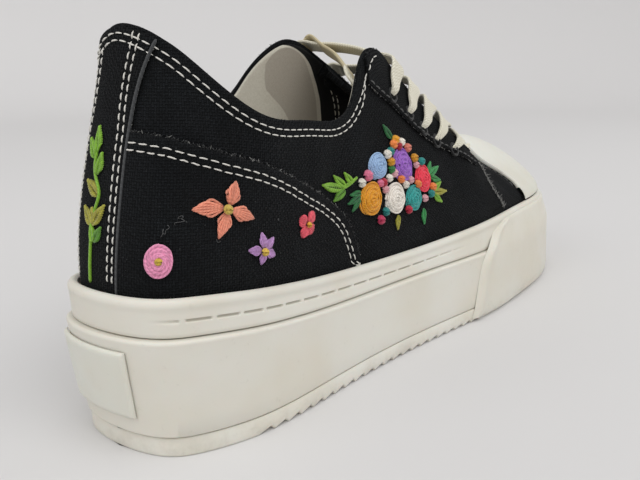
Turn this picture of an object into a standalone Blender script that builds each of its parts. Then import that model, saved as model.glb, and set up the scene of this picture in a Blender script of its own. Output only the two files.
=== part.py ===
"""Low canvas sneaker for the right foot on a thick platform sole, standing empty on the floor.

+X runs from heel to toe, +Z is up and -Y is the outer side of the foot. Sizes are in millimetres
and measured from the back of the tread until the finished shoe is centred on its own box.
"""
from collections import namedtuple

import bmesh
import bpy
import numpy as np

MM = 0.001
GAP = 0.3                 # air between pieces that meet
SOLE_LENGTH = 280.0       # tread, heel to toe
TOE_TIP_Y = 6.0           # the toe points to the inner side
TREAD_TOP = 5.5           # line between tread and platform
TOE_SPRING = 4.2          # rise of the toe off the floor
SPRING_START = 215.0
RIB_START = 26.0
RIB_END = 150.0
RIB_COUNT = 22
RIB_DEPTH = 1.3
RIB_RISE_SHARE = 0.8      # part of a rib's pitch that climbs gently
HEEL_FLARE_REACH = 45.0   # how far forward the heel wall leans out
LEDGE_INSET = 0.8         # ledge, inside the tread's outline
LEDGE_FLARE = 5.6         # ledge, pushed out at the back of the heel
BAND_STEP = 1.6           # foxing band stands back from the ledge
CANVAS_INSET = 6.2        # canvas at the top of the foxing, inside the tread's outline
CANVAS_FLARE = 7.3
REAR_ROOM = 1.9           # how much further in the upper stands at the rear, under its panels
REAR_ROOM_END = 100.0     # forward of this it stands at the foxing's edge
REAR_ROOM_FADE = 40.0
LIP = 2.6                 # width of the foxing's round lip
WALL = 2.0                # canvas, foam and lining together
TONGUE_WALL = 2.2
TONGUE_CROWN = 0.15       # how strongly the tongue arches between the facings
TONGUE_SAG = 6.0          # how far the slack top of the tongue hangs in the throat
TONGUE_FOOT = 228.0       # sections of the upper where the tongue starts and ends
TONGUE_TOP_OUTER = 140.0
TONGUE_TOP_INNER = 134.0
INSOLE_THICK = 4.0
PANEL_GAP = 0.42          # air under a panel that lies on the upper
STAY_GAP = 0.6            # the same under a facing
PANEL_WALL = 0.9          # canvas panel
CAP_WALL = 1.2
CAP_GAP = 0.75            # air under the toe cap, which bends more
CAP_EDGE_X = 205.5        # rear edge of the toe cap
CAP_SIDE_X = 207.5        # where that edge meets the foxing
PANEL_LOW = 0.02          # panels start just above the foxing and end just under the collar's edge
PANEL_HIGH = 0.98
COUNTER_FRONT = 82.5      # front end of the rear panels on the foxing
STAY_START = 104.0        # facings, first and last section on the edge of the throat
STAY_END = 236.0
BUMPER_PROUD = 1.3        # toe bumper and heel plate stand out from the sole's side
BUMPER_LOW = 1.4
PLATE_PROUD = 0.9
PLATE_CENTRE = -4.0       # along the back of the heel, towards the outer side
PLATE_HALF = 13.5
PLATE_LOW = 11.5
PLATE_UNDER_LEDGE = 3.6
LACE_WIDTH = 7.4
LACE_THICK = 1.4
LACE_OVER = 4.1           # middle of the lace above the upper
LACE_ARCH = 2.0           # rise of a bar over the middle of the throat
PROFILE_STEPS = 8         # points up a wall above the foxing

Plan = namedtuple("Plan", "x outer inner")
SOLE_PLAN = (
    Plan(x=3, outer=15.7, inner=15.7),
    Plan(x=10, outer=22.5, inner=22.5),
    Plan(x=28, outer=29.8, inner=29.8),
    Plan(x=56, outer=32.4, inner=33.4),
    Plan(x=90, outer=34.4, inner=33.2),
    Plan(x=126, outer=39.2, inner=34.4),
    Plan(x=162, outer=44.6, inner=39.8),
    Plan(x=196, outer=45.2, inner=46.6),
    Plan(x=230, outer=42.6, inner=46.6),
    Plan(x=258, outer=31.2, inner=36.6),
    Plan(x=273, outer=15.5, inner=22.5),
)

Height = namedtuple("Height", "x ledge band_top")
SOLE_HEIGHTS = (
    Height(x=-10, ledge=35.7, band_top=46.8),
    Height(x=12, ledge=34.1, band_top=45.0),
    Height(x=40, ledge=30.7, band_top=41.2),
    Height(x=75, ledge=28.1, band_top=38.0),
    Height(x=115, ledge=27.5, band_top=37.2),
    Height(x=180, ledge=27.6, band_top=40.2),
    Height(x=235, ledge=28.7, band_top=41.2),
    Height(x=290, ledge=31.5, band_top=42.2),
)

# One row for each section of the upper: where it stands on the sole, where it ends on the edge of
# the opening, and the shape of the wall between them. rise and drop are shares of its height,
# crown a share of its way inwards, swell its fullness in millimetres, and lift is how much
# higher the edge stands on the inner side. steps counts the points up to the next row.
Section = namedtuple("Section", "x steps top_x top_outer top_inner top_z lift rise swell crown drop")
UPPER_SECTIONS = (
    Section(0, 4, 14.6, -3.0, 3.0, 114.0, 0.0, .35, 0.4, .22, .35),
    Section(4, 3, 16.4, 9.7, 12.8, 109.9, 0.0, .35, 0.4, .22, .35),
    Section(14, 3, 22.2, 14.9, 17.1, 104.0, 0.0, .35, 1.4, .22, .35),
    Section(34, 3, 36.9, 23.3, 25.0, 90.7, 0.0, .35, 2.0, .15, .35),
    Section(62, 3, 62.0, 23.5, 26.5, 86.7, 0.3, .35, 2.0, .15, .35),
    Section(88, 2, 86.0, 22.0, 29.6, 91.0, 4.8, .35, 1.5, .20, .30),
    Section(100, 2, 93.0, 20.5, 26.4, 103.0, 1.8, .35, 1.5, .25, .30),
    Section(112, 2, 103.0, 19.0, 20.5, 108.8, 4.0, .36, 1.5, .28, .28),
    Section(125, 3, 116.0, 17.5, 18.4, 103.0, 7.0, .38, 1.5, .30, .25),
    Section(148, 3, 134.0, 16.0, 13.0, 93.0, 5.0, .40, 1.5, .34, .22),
    Section(178, 3, 157.0, 14.5, 13.0, 80.5, 2.8, .40, 1.0, .32, .22),
    Section(208, 3, 177.0, 13.0, 14.0, 68.5, 0.0, .30, 0.0, .20, .26),
    Section(238, 4, 192.0, 10.5, 11.5, 62.0, 0.0, .32, 0.0, .28, .18),
    Section(262, 7, 200.0, 5.0, 7.0, 66.0, 0.0, .34, 0.0, .30, -.11),
    Section(280, 0, 202.0, -1.5, 1.5, 67.5, 0.0, .40, 0.0, .30, -.17),
)

# Heel strip, up the back of the upper: middle (towards the outer side) and half width in millimetres.
Strip = namedtuple("Strip", "up middle half")
HEEL_STRIP = (
    Strip(up=0.0, middle=-6.8, half=11.2),
    Strip(up=0.35, middle=-6.2, half=12.5),
    Strip(up=0.6, middle=-5.6, half=13.3),
    Strip(up=0.85, middle=-4.0, half=16.1),
    Strip(up=1.0, middle=-2.0, half=19.5),
)

Edge = namedtuple("Edge", "x z")
COUNTER_EDGE = (
    Edge(x=-2, z=87.0),
    Edge(x=17, z=81.2),
    Edge(x=37, z=75.3),
    Edge(x=60, z=65.0),
    Edge(x=72.7, z=56.9),
    Edge(x=78.6, z=48.5),
    Edge(x=82.5, z=38.0),
)

# Lower edge of the facings: section of the upper and height on its wall.
Seam = namedtuple("Seam", "x up")
STAY_SEAM = (
    Seam(x=102, up=.87),
    Seam(x=110, up=.735),
    Seam(x=123, up=.625),
    Seam(x=136, up=.56),
    Seam(x=150, up=.505),
    Seam(x=170, up=.42),
)

# Edge of the toe bumper on the sole's side, from the tread up to the lip of the foxing.
Front = namedtuple("Front", "share x")
BUMPER_EDGE = (
    Front(share=0.0, x=144.0),
    Front(share=0.3, x=148.0),
    Front(share=0.55, x=151.0),
    Front(share=0.8, x=158.5),
    Front(share=1.0, x=178.0),
)

# One row for each bar of the lace: its eyelet and where it passes over the edge of the throat.
Lace = namedtuple("Lace", "eyelet_x eyelet_up edge_x")
LACE_BARS = (
    Lace(eyelet_x=115.5, eyelet_up=.745, edge_x=126.0),
    Lace(eyelet_x=125.5, eyelet_up=.685, edge_x=144.5),
    Lace(eyelet_x=133.5, eyelet_up=.62, edge_x=165.0),
    Lace(eyelet_x=141.5, eyelet_up=.56, edge_x=186.0),
    Lace(eyelet_x=153.0, eyelet_up=.515, edge_x=210.5),
    Lace(eyelet_x=180.0, eyelet_up=.64, edge_x=234.0),
)


def material(name, colour, roughness):
    """A plain surface of one colour."""
    made = bpy.data.materials.new(name)
    made.use_nodes = True
    shader = made.node_tree.nodes["Principled BSDF"]
    shader.inputs["Base Color"].default_value = (*colour, 1.0)
    shader.inputs["Roughness"].default_value = roughness
    shader.inputs["Metallic"].default_value = 0.0
    return made


def spline(knots, rows, at, period=None):
    """Cubic spline through rows of values, read at the given places. With a period it closes on itself."""
    knots = np.asarray(knots, float)
    rows = np.asarray(rows, float).reshape(len(knots), -1)
    at = np.atleast_1d(np.asarray(at, float))
    count = len(knots)
    if period:
        ahead = np.append(knots[1:], knots[0] + period)
        values_ahead = np.roll(rows, -1, axis=0)
        span = ahead - knots
        matrix = np.zeros((count, count))
        for i in range(count):
            matrix[i, i - 1] = span[i - 1]
            matrix[i, i] = 2 * (span[i - 1] + span[i])
            matrix[i, (i + 1) % count] = span[i]
        slope = (values_ahead - rows) / span[:, None]
        bend = np.linalg.solve(matrix, 6 * (slope - np.roll(slope, 1, axis=0)))
        bend_ahead = np.roll(bend, -1, axis=0)
        at = knots[0] + (at - knots[0]) % period
        index = np.clip(np.searchsorted(knots, at, side="right") - 1, 0, count - 1)
    else:
        span = np.diff(knots)
        matrix = np.eye(count)
        slope = np.diff(rows, axis=0) / span[:, None]
        right = np.zeros_like(rows)
        for i in range(1, count - 1):
            matrix[i, i - 1:i + 2] = span[i - 1], 2 * (span[i - 1] + span[i]), span[i]
            right[i] = 6 * (slope[i] - slope[i - 1])
        bend = np.linalg.solve(matrix, right)
        bend_ahead = bend[1:]
        values_ahead = rows[1:]
        index = np.clip(np.searchsorted(knots, at, side="right") - 1, 0, count - 2)
    step = span[index][:, None]
    b = (at[:, None] - knots[index][:, None]) / step
    a = 1 - b
    return (a * rows[index] + b * values_ahead[index]
            + ((a ** 3 - a) * bend[index] + (b ** 3 - b) * bend_ahead[index]) * step ** 2 / 6)


def outline_rows():
    """Points of the tread's outline and their places along it: outer side to the toe, inner side back."""
    outer = [(row.x, -row.outer) for row in SOLE_PLAN]
    inner = [(row.x, row.inner) for row in SOLE_PLAN]
    points = np.array([(0, 0)] + outer + [(SOLE_LENGTH, TOE_TIP_Y)] + inner[::-1])
    steps = np.linalg.norm(np.diff(np.vstack([points, points[:1]]), axis=0), axis=1) ** 0.5
    steps = (steps + steps[::-1]) / 2
    places = np.concatenate([[0], np.cumsum(steps)])
    return points, places[:-1] / places[-1]


OUTLINE_POINTS, OUTLINE_PLACES = outline_rows()


def outline(place):
    """Tread outline at a place from 0 (back of the heel) over the outer side and 0.5 (toe tip) to 1."""
    return spline(OUTLINE_PLACES, OUTLINE_POINTS, place, period=1.0)


def outward(place):
    """Unit direction in plan that points out of the outline."""
    step = 0.0005
    along = outline(np.asarray(place) + step) - outline(np.asarray(place) - step)
    along /= np.linalg.norm(along, axis=1, keepdims=True)
    return np.column_stack([along[:, 1], -along[:, 0]])


def place_of(x, inner=False):
    """Place along the outline at a distance from the heel, on the outer or the inner side."""
    samples = np.linspace(0, 0.5, 801)
    found = np.interp(x, outline(samples)[:, 0], samples)
    return 1 - found if inner else found


def heel_place(distance):
    """Place at a distance round the back of the heel, counted towards the outer side."""
    samples = np.linspace(-0.15, 0.15, 601)
    lengths = np.concatenate([[0], np.cumsum(np.linalg.norm(np.diff(outline(samples), axis=0), axis=1))])
    return np.interp(distance, lengths - lengths[len(samples) // 2], samples)


def ledge(x):
    return spline([r.x for r in SOLE_HEIGHTS], [r.ledge for r in SOLE_HEIGHTS], x)[:, 0]


def band_top(x):
    return spline([r.x for r in SOLE_HEIGHTS], [r.band_top for r in SOLE_HEIGHTS], x)[:, 0]


def spring(x):
    share = np.clip((np.asarray(x, float) - SPRING_START) / (SOLE_LENGTH - SPRING_START), 0, 1)
    return TOE_SPRING * share ** 2


def flare(x):
    """1 at the back of the heel, falling to 0 where the side wall stands straight."""
    return np.clip(1 - np.asarray(x, float) / HEEL_FLARE_REACH, 0, 1) ** 1.5


def ledge_inset(x):
    return LEDGE_INSET - LEDGE_FLARE * flare(x)


def canvas_inset(x):
    return CANVAS_INSET - CANVAS_FLARE * flare(x)


def upper_inset(x):
    """Foot of the upper inside the foxing. At the rear it leaves room for the panels on the upper."""
    share = np.clip((REAR_ROOM_END - np.asarray(x, float)) / REAR_ROOM_FADE, 0, 1)
    return canvas_inset(x) + GAP + REAR_ROOM * share ** 2 * (3 - 2 * share)


def ring(place, inset, height):
    """Points round the shoe, moved in from the outline by inset and lifted to height."""
    plan = outline(place) - outward(place) * np.asarray(inset).reshape(-1, 1)
    return np.column_stack([plan, np.broadcast_to(height, (len(plan),))])


def finish(name, bm, look):
    """Turn a bmesh in millimetres into a named object with outward faces."""
    bmesh.ops.recalc_face_normals(bm, faces=bm.faces[:])
    bmesh.ops.scale(bm, vec=(MM, MM, MM), verts=bm.verts[:])
    mesh = bpy.data.meshes.new(name)
    bm.to_mesh(mesh)
    bm.free()
    mesh.materials.append(look)
    mesh.shade_smooth()
    mesh.set_sharp_from_angle(angle=np.radians(35))
    made = bpy.data.objects.new(name, mesh)
    bpy.context.scene.collection.objects.link(made)
    return made


def skin(bm, rows, closed):
    """Quads between neighbouring rows of points. A closed skin joins its last row to its first."""
    verts = [[bm.verts.new(point) for point in row] for row in rows]
    pairs = list(zip(verts, verts[1:]))
    if closed:
        pairs.append((verts[-1], verts[0]))
    for low, high in pairs:
        for k in range(len(low) - 1):
            bm.faces.new((low[k], high[k], high[k + 1], low[k + 1]))
    return verts


def sheet(name, rows, closed, thickness, look):
    """A skin given a wall. A positive thickness grows on the side that the faces point to."""
    bm = bmesh.new()
    skin(bm, rows, closed)
    mesh = bpy.data.meshes.new(name)
    bmesh.ops.scale(bm, vec=(MM, MM, MM), verts=bm.verts[:])
    bm.to_mesh(mesh)
    bm.free()
    mesh.materials.append(look)
    mesh.shade_smooth()
    made = bpy.data.objects.new(name, mesh)
    bpy.context.scene.collection.objects.link(made)
    wall = made.modifiers.new("wall", "SOLIDIFY")
    wall.thickness = abs(thickness) * MM
    wall.offset = 1.0 if thickness > 0 else -1.0
    wall.use_even_offset = True
    wall.use_rim = True
    return made


def loft(name, rings, closed, look, ladder=False):
    """A solid through rings of points. Open ends are capped flat, or by rungs across a long ring."""
    bm = bmesh.new()
    loops = [np.vstack([points, points[:1]]) for points in rings]
    verts = [[bm.verts.new(point) for point in loop[:-1]] for loop in loops]
    pairs = list(zip(verts, verts[1:]))
    if closed:
        pairs.append((verts[-1], verts[0]))
    for low, high in pairs:
        for k in range(len(low)):
            after = (k + 1) % len(low)
            bm.faces.new((low[k], low[after], high[after], high[k]))
    if not closed:
        for end in (verts[0], verts[-1]):
            if not ladder:
                bm.faces.new(end)
                continue
            count = len(end)
            for k in range(count // 2):
                rung = [end[k], end[k + 1], end[(count - k - 1) % count], end[(count - k) % count]]
                bm.faces.new(list(dict.fromkeys(rung)))
    return finish(name, bm, look)


def side_places():
    """Places round the shoe, dense where the rows of the upper are dense, the same on both sides."""
    rows = [place_of(row.x) for row in UPPER_SECTIONS]
    spans = [np.linspace(low, high, row.steps, endpoint=False)
             for low, high, row in zip(rows, rows[1:], UPPER_SECTIONS)]
    outer = np.concatenate(spans)
    inner = 1 - outer[:0:-1]
    return np.concatenate([outer, [0.5], inner])


def section_values(place):
    """All columns of the upper's table, blended smoothly round the shoe."""
    shape = [(row.rise, row.swell, row.crown, row.drop) for row in UPPER_SECTIONS]
    outer = [(row.top_x, -row.top_outer, row.top_z, *rest) for row, rest in zip(UPPER_SECTIONS, shape)]
    inner = [(row.top_x, row.top_inner, row.top_z + row.lift, *rest)
             for row, rest in zip(UPPER_SECTIONS, shape)]
    knots = [place_of(row.x) for row in UPPER_SECTIONS]
    knots += [1 - knot for knot in knots[-2:0:-1]]
    return spline(knots, outer + inner[-2:0:-1], place, period=1.0)


def upper_point(place, up):
    """Outside of the upper. up is -1 on the footbed, 0 at the foxing's top and 1 on the opening's edge."""
    place = np.atleast_1d(np.asarray(place, float))
    up = np.broadcast_to(np.asarray(up, float), place.shape)
    x = outline(place)[:, 0]
    inset = upper_inset(x)
    foot = ring(place, inset, band_top(x))
    values = section_values(place)
    top = values[:, :3]
    rise, swell, crown, drop = values[:, 3:].T
    height = top[:, 2] - foot[:, 2]
    out = np.column_stack([outward(place), np.zeros(len(place))])
    lift = np.zeros_like(foot)
    lift[:, 2] = rise * height
    first = foot + lift
    inwards = foot - top
    inwards[:, 2] = -drop * height
    second = top + inwards * np.column_stack([crown, crown, np.ones(len(place))]) + out * swell[:, None]
    t = np.clip(up, 0, 1)[:, None]
    wall = ((1 - t) ** 3 * foot + 3 * t * (1 - t) ** 2 * first + 3 * t ** 2 * (1 - t) * second + t ** 3 * top)
    wall[:, 2] += np.minimum(up, 0) * (band_top(x) - ledge(x) - GAP)
    return wall


def upper_normal(place, up):
    """Outward direction of the upper's outside."""
    place = np.atleast_1d(np.asarray(place, float))
    up = np.broadcast_to(np.asarray(up, float), place.shape)
    low = np.clip(up - 0.01, -1, 0.98)
    along = upper_point(place + 0.001, up) - upper_point(place - 0.001, up)
    rising = upper_point(place, low + 0.02) - upper_point(place, low)
    normal = np.cross(along, rising)
    return normal / np.linalg.norm(normal, axis=1, keepdims=True)


def make_outsole(look):
    heel = RIB_START * (1 - np.cos(np.linspace(0.1, 1, 9) * np.pi / 2))
    tips = np.linspace(RIB_START, RIB_END, RIB_COUNT + 1)
    tops = tips[:-1] + np.diff(tips) * RIB_RISE_SHARE
    ribs = np.sort(np.concatenate([tips, tops]))
    turn = np.linspace(0, 0.985, 12) * np.pi / 2
    toe = RIB_END + (SOLE_LENGTH - RIB_END) * np.sin(turn)
    x = np.concatenate([heel[:-1], ribs, toe[1:]])
    low = np.where(np.isin(x, tops), RIB_DEPTH, 0.0) + spring(x)
    high = TREAD_TOP + spring(x)
    outer = outline(place_of(x))[:, 1]
    inner = outline(place_of(x, inner=True))[:, 1]
    rings = [np.array([(a, b, d), (a, c, d), (a, c, e), (a, b, e)])
             for a, b, c, d, e in zip(x, outer, inner, low, high)]
    return loft("outsole", rings, False, look)


def make_midsole(look):
    place = side_places()
    x = outline(place)[:, 0]
    low = TREAD_TOP + GAP + spring(x)
    top = ledge(x)
    lean = ledge_inset(x)
    levels = ((low, 0.6 + 0 * x), (low + 1.0, lean * 0.2), (top - 1.4, lean), (top - 0.4, lean + 0.3),
              (top, lean + 1.0))
    return loft("midsole", [ring(place, inset, height) for height, inset in levels], False, look, ladder=True)


def make_foxing(look):
    place = side_places()
    x = outline(place)[:, 0]
    low = ledge(x) + GAP
    top = band_top(x)
    foot = ledge_inset(x) + BAND_STEP
    edge = canvas_inset(x)
    corners = ((low, foot), (top - 3.2, edge - LIP), (top - 1.2, edge - LIP + 0.3),
               (top - 0.2, edge - LIP / 2), (top - 0.6, edge), (low, edge))
    points = np.stack([ring(place, inset, height) for height, inset in corners], axis=1)
    return loft("foxing", list(points), True, look)


def make_upper(look):
    place = side_places()
    ups = np.concatenate([[-1.0], np.linspace(0, 1, PROFILE_STEPS + 1)])
    rows = np.stack([upper_point(place, up) for up in ups], axis=1)
    return sheet("upper", list(rows), True, -WALL, look)


def make_insole(look):
    place = side_places()
    x = outline(place)[:, 0]
    inset = upper_inset(x) + WALL + 0.6
    low = ledge(x) + GAP
    levels = ((low, inset), (low + INSOLE_THICK - 0.8, inset), (low + INSOLE_THICK, inset + 0.8))
    return loft("insole", [ring(place, cut, height) for height, cut in levels], False, look, ladder=True)


def make_tongue(look):
    """A sheet under both facings and across the throat. Its top slants, lower on the outer side."""
    under = WALL + 1.2
    ups = (0.84, 0.92, 1.0)
    rows = []
    for share in np.linspace(0, 1, 11):
        sides = []
        for top, inner in ((TONGUE_TOP_OUTER, False), (TONGUE_TOP_INNER, True)):
            places = np.full(len(ups), place_of(top + (TONGUE_FOOT - top) * share, inner))
            sides.append(upper_point(places, ups) - upper_normal(places, ups) * under)
        outer, inner = sides
        reach = np.linalg.norm(inner[-1] - outer[-1]) * TONGUE_CROWN
        lead = (outer[-1] - outer[-2]) / np.linalg.norm(outer[-1] - outer[-2]) * reach
        trail = (inner[-2] - inner[-1]) / np.linalg.norm(inner[-2] - inner[-1]) * reach
        bridge = []
        sag = np.array([0, 0, TONGUE_SAG * (1 - share) ** 2])
        for t in (0.25, 0.5, 0.75):
            bridge.append((2 * t ** 3 - 3 * t ** 2 + 1) * outer[-1] + (t ** 3 - 2 * t ** 2 + t) * lead
                          + (3 * t ** 2 - 2 * t ** 3) * inner[-1] + (t ** 3 - t ** 2) * trail
                          - sag * np.sin(np.pi * t))
        rows.append(np.vstack([outer, bridge, inner[::-1]]))
    return sheet("tongue", rows, False, -TONGUE_WALL, look)


def panel(name, places, ups, thickness, look, air=PANEL_GAP):
    """A panel that lies on the upper, from grids of places and heights."""
    rows = []
    for place, up in zip(places, ups):
        rows.append(upper_point(place, up) + upper_normal(place, up) * air)
    return sheet(name, rows, False, thickness, look)


def height_where(place, reached):
    """Lowest height on the wall of the upper at which a test of its point comes true."""
    ups = np.linspace(PANEL_LOW, PANEL_HIGH, 193)
    points = upper_point(np.full(len(ups), place), ups)
    hits = np.flatnonzero(reached(points))
    return ups[hits[0]] if len(hits) else PANEL_HIGH


def make_toe_cap(look):
    start = place_of(CAP_SIDE_X)
    inside = side_places()
    end = 1 - start
    places = np.concatenate([[start], inside[(inside > start + 0.004) & (inside < end - 0.004)], [end]])
    tops = [height_where(place, lambda points: points[:, 0] < CAP_EDGE_X) for place in places]
    shares = np.linspace(0, 1, 9)
    grid = [np.full(len(shares), place) for place in places]
    ups = [PANEL_LOW + (top - PANEL_LOW) * shares for top in tops]
    return panel("toe_cap", grid, ups, CAP_WALL, look, CAP_GAP)


def strip_edge(up, side):
    """Place of the heel strip's edge. side is 1 on the outer and -1 on the inner side."""
    rows = [(row.middle, row.half) for row in HEEL_STRIP]
    middle, half = spline([row.up for row in HEEL_STRIP], rows, up).T
    return heel_place(middle + side * half)


def make_heel_strip(look):
    ups = np.linspace(PANEL_LOW, PANEL_HIGH, 10)
    shares = np.linspace(0, 1, 8)
    inner = strip_edge(ups, -1)
    outer = strip_edge(ups, 1)
    grid = [inner + (outer - inner) * share for share in shares]
    return panel("heel_strip", grid, [ups] * len(shares), PANEL_WALL, look)


def make_counter(name, side, look):
    """Rear panel of one side, from the heel strip to its curved front edge."""
    shares = np.linspace(0, 1, 7)
    reach = place_of(COUNTER_FRONT)
    air = heel_place(PANEL_GAP)
    grid = []
    ups = []
    for along in 1 - np.linspace(1, 0, 15) ** 1.3:
        place = side * strip_edge(0.6, side)[0] * (1 - along) + reach * along
        x = outline(place)[:, 0]
        edge = spline([row.x for row in COUNTER_EDGE], [row.z for row in COUNTER_EDGE], x)[0, 0]
        top = height_where(side * place, lambda points: points[:, 2] > edge)
        up = PANEL_LOW + (max(top, PANEL_LOW + 0.03) - PANEL_LOW) * shares
        back = strip_edge(up, side) * side + air
        grid.append(side * (back + (reach - back) * along))
        ups.append(up)
    order = slice(None, None, side)
    return panel(name, grid[order], ups[order], PANEL_WALL, look)


def make_eyestay(name, inner, look):
    """Facing of one side, from its seam up to the edge of the throat."""
    along = np.linspace(0, 1, 19)
    rows = [(place_of(row.x), row.up) for row in STAY_SEAM]
    low_place, low_up = spline(np.linspace(0, 1, len(rows)), rows, along).T
    high_place = place_of(STAY_START + (STAY_END - STAY_START) * along)
    shares = np.linspace(0, 1, 6)
    grid = [low + (high - low) * shares for low, high in zip(low_place, high_place)]
    ups = [low + (PANEL_HIGH - low) * shares for low in low_up]
    if inner:
        grid = [1 - places for places in grid[::-1]]
        ups = ups[::-1]
    return panel(name, grid, ups, PANEL_WALL, look, STAY_GAP)


def make_lace_bar(number, row, look):
    """A flat bar of the lace from eyelet to eyelet over the throat."""
    sides = []
    for inner in (False, True):
        shares = np.linspace(0, 1, 7)
        places = place_of(row.eyelet_x + (row.edge_x - row.eyelet_x) * shares, inner)
        ups = row.eyelet_up + (1 - row.eyelet_up) * shares
        sides.append(upper_point(places, ups) + upper_normal(places, ups) * LACE_OVER)
    outer, inner = sides
    spans = np.linspace(0, 1, 7)[1:-1]
    bridge = [outer[-1] + (inner[-1] - outer[-1]) * t + np.array([0, 0, LACE_ARCH * np.sin(np.pi * t)])
              for t in spans]
    path = np.vstack([outer, bridge, inner[::-1]])
    tangent = np.gradient(path, axis=0)
    before = upper_point(place_of(row.edge_x - 8), 1)[0]
    after = upper_point(place_of(row.edge_x + 8), 1)[0]
    across = (after - before) * np.array([1, 0, 1])
    flat = np.cross(tangent, across)
    flat /= np.linalg.norm(flat, axis=1, keepdims=True)
    wide = np.cross(flat, tangent)
    wide /= np.linalg.norm(wide, axis=1, keepdims=True)
    half_wide = wide * LACE_WIDTH / 2
    half_flat = flat * LACE_THICK / 2
    corners = (path - half_wide - half_flat * 0.3, path - half_wide * 0.8 + half_flat,
               path + half_wide * 0.8 + half_flat, path + half_wide - half_flat * 0.3, path - half_flat)
    return loft("lace_bar_%d" % number, list(np.stack(corners, axis=1)), False, look)


def make_toe_bumper(look):
    """Raised wrap round the toe. Each level starts where the slanted edge crosses it."""
    along = np.linspace(0, 1, 35)
    levels = []
    for share in (0, 0.16, 0.62, 0.8, 0.92, 1.0):
        x = spline([row.share for row in BUMPER_EDGE], [row.x for row in BUMPER_EDGE], share)[0, 0]
        start = place_of(x)
        places = start + (1 - 2 * start) * along
        levels.append((places, outline(places)[:, 0]))

    def at(level, height, inset):
        places, x = levels[level]
        return ring(places, inset(x), height(x))

    def foxing_wall(x):
        return canvas_inset(x) - LIP

    def lean(x):
        return ledge_inset(x)

    proud = BUMPER_PROUD + GAP
    outer = (
        at(0, lambda x: BUMPER_LOW + spring(x), lambda x: 0 * x - proud * 0.75),
        at(1, lambda x: TREAD_TOP + spring(x), lambda x: 0 * x - proud),
        at(2, lambda x: ledge(x) - 4, lambda x: lean(x) - proud),
        at(3, lambda x: ledge(x) + 1.6, lambda x: lean(x) - proud * 0.75),
        at(4, lambda x: band_top(x) - 4.2, lambda x: foxing_wall(x) - proud),
        at(5, lambda x: band_top(x) - 2.0, lambda x: foxing_wall(x) - proud * 0.6),
    )
    inner = (
        at(5, lambda x: band_top(x) - 2.4, lambda x: foxing_wall(x) - GAP),
        at(4, lambda x: band_top(x) - 3.6, lambda x: foxing_wall(x) - GAP),
        at(3, lambda x: ledge(x) + 1.2, lambda x: lean(x) + BAND_STEP - GAP * 1.4),
        at(3, lambda x: ledge(x) + 0.2, lambda x: lean(x) - GAP),
        at(2, lambda x: ledge(x) - 4, lambda x: lean(x) - GAP * 1.4),
        at(1, lambda x: TREAD_TOP + spring(x), lambda x: 0 * x - GAP * 1.4),
        at(0, lambda x: BUMPER_LOW + spring(x), lambda x: 0 * x - GAP * 1.4),
    )
    return loft("toe_bumper", list(np.stack(outer + inner, axis=1)), False, look)


def make_heel_plate(look):
    """Bare raised plate on the leaning back wall of the sole."""
    places = heel_place(PLATE_CENTRE + PLATE_HALF * np.linspace(-1, 1, 11))
    x = outline(places)[:, 0]
    foot = TREAD_TOP + GAP + 1.0
    head = ledge(x) - 1.4
    rows = []
    for share in np.linspace(0, 1, 5):
        height = PLATE_LOW + (ledge(x) - PLATE_UNDER_LEDGE - PLATE_LOW) * share
        inset = ledge_inset(x) * (0.2 + 0.8 * (height - foot) / (head - foot))
        rows.append(ring(places, inset - GAP, height))
    return sheet("heel_plate", list(np.stack(rows, axis=1)), False, PLATE_PROUD, look)


def centre_on_box():
    """Put the origin under the middle of the shoe's box, on the floor."""
    bpy.context.view_layer.update()
    graph = bpy.context.evaluated_depsgraph_get()
    corners = []
    for thing in bpy.data.objects:
        shape = thing.evaluated_get(graph).to_mesh()
        corners += [vertex.co.copy() for vertex in shape.vertices]
    low = np.min(corners, axis=0)
    high = np.max(corners, axis=0)
    shift = -np.array([(low[0] + high[0]) / 2, (low[1] + high[1]) / 2, low[2]])
    for mesh in bpy.data.meshes:
        for vertex in mesh.vertices:
            vertex.co += type(vertex.co)(shift)


def main():
    for thing in list(bpy.data.objects):
        bpy.data.objects.remove(thing, do_unlink=True)
    rubber = material("rubber", (0.61, 0.59, 0.51), 0.55)
    canvas = material("canvas", (0.012, 0.013, 0.015), 0.9)
    lining = material("lining", (0.62, 0.60, 0.53), 0.9)
    cotton = material("cotton", (0.64, 0.60, 0.48), 0.9)
    make_outsole(rubber)
    make_midsole(rubber)
    make_foxing(rubber)
    make_upper(canvas)
    make_insole(lining)
    make_tongue(canvas)
    make_toe_bumper(rubber)
    make_heel_plate(rubber)
    make_toe_cap(rubber)
    make_heel_strip(canvas)
    make_counter("counter_outer", 1, canvas)
    make_counter("counter_inner", -1, canvas)
    make_eyestay("eyestay_outer", False, canvas)
    make_eyestay("eyestay_inner", True, canvas)
    for number, row in enumerate(LACE_BARS, 1):
        make_lace_bar(number, row, cotton)
    centre_on_box()


main()
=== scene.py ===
"""Looks of a low canvas sneaker for the right foot on a thick platform sole.

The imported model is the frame. Each operator dresses one group of pieces. Points are worked out in
millimetres from the back of the tread, with +X to the toe, -Y to the outer side and +Z up, and
to_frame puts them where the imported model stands.
"""
from collections import namedtuple

import bpy
import numpy as np
from mathutils import Matrix, Vector


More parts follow.
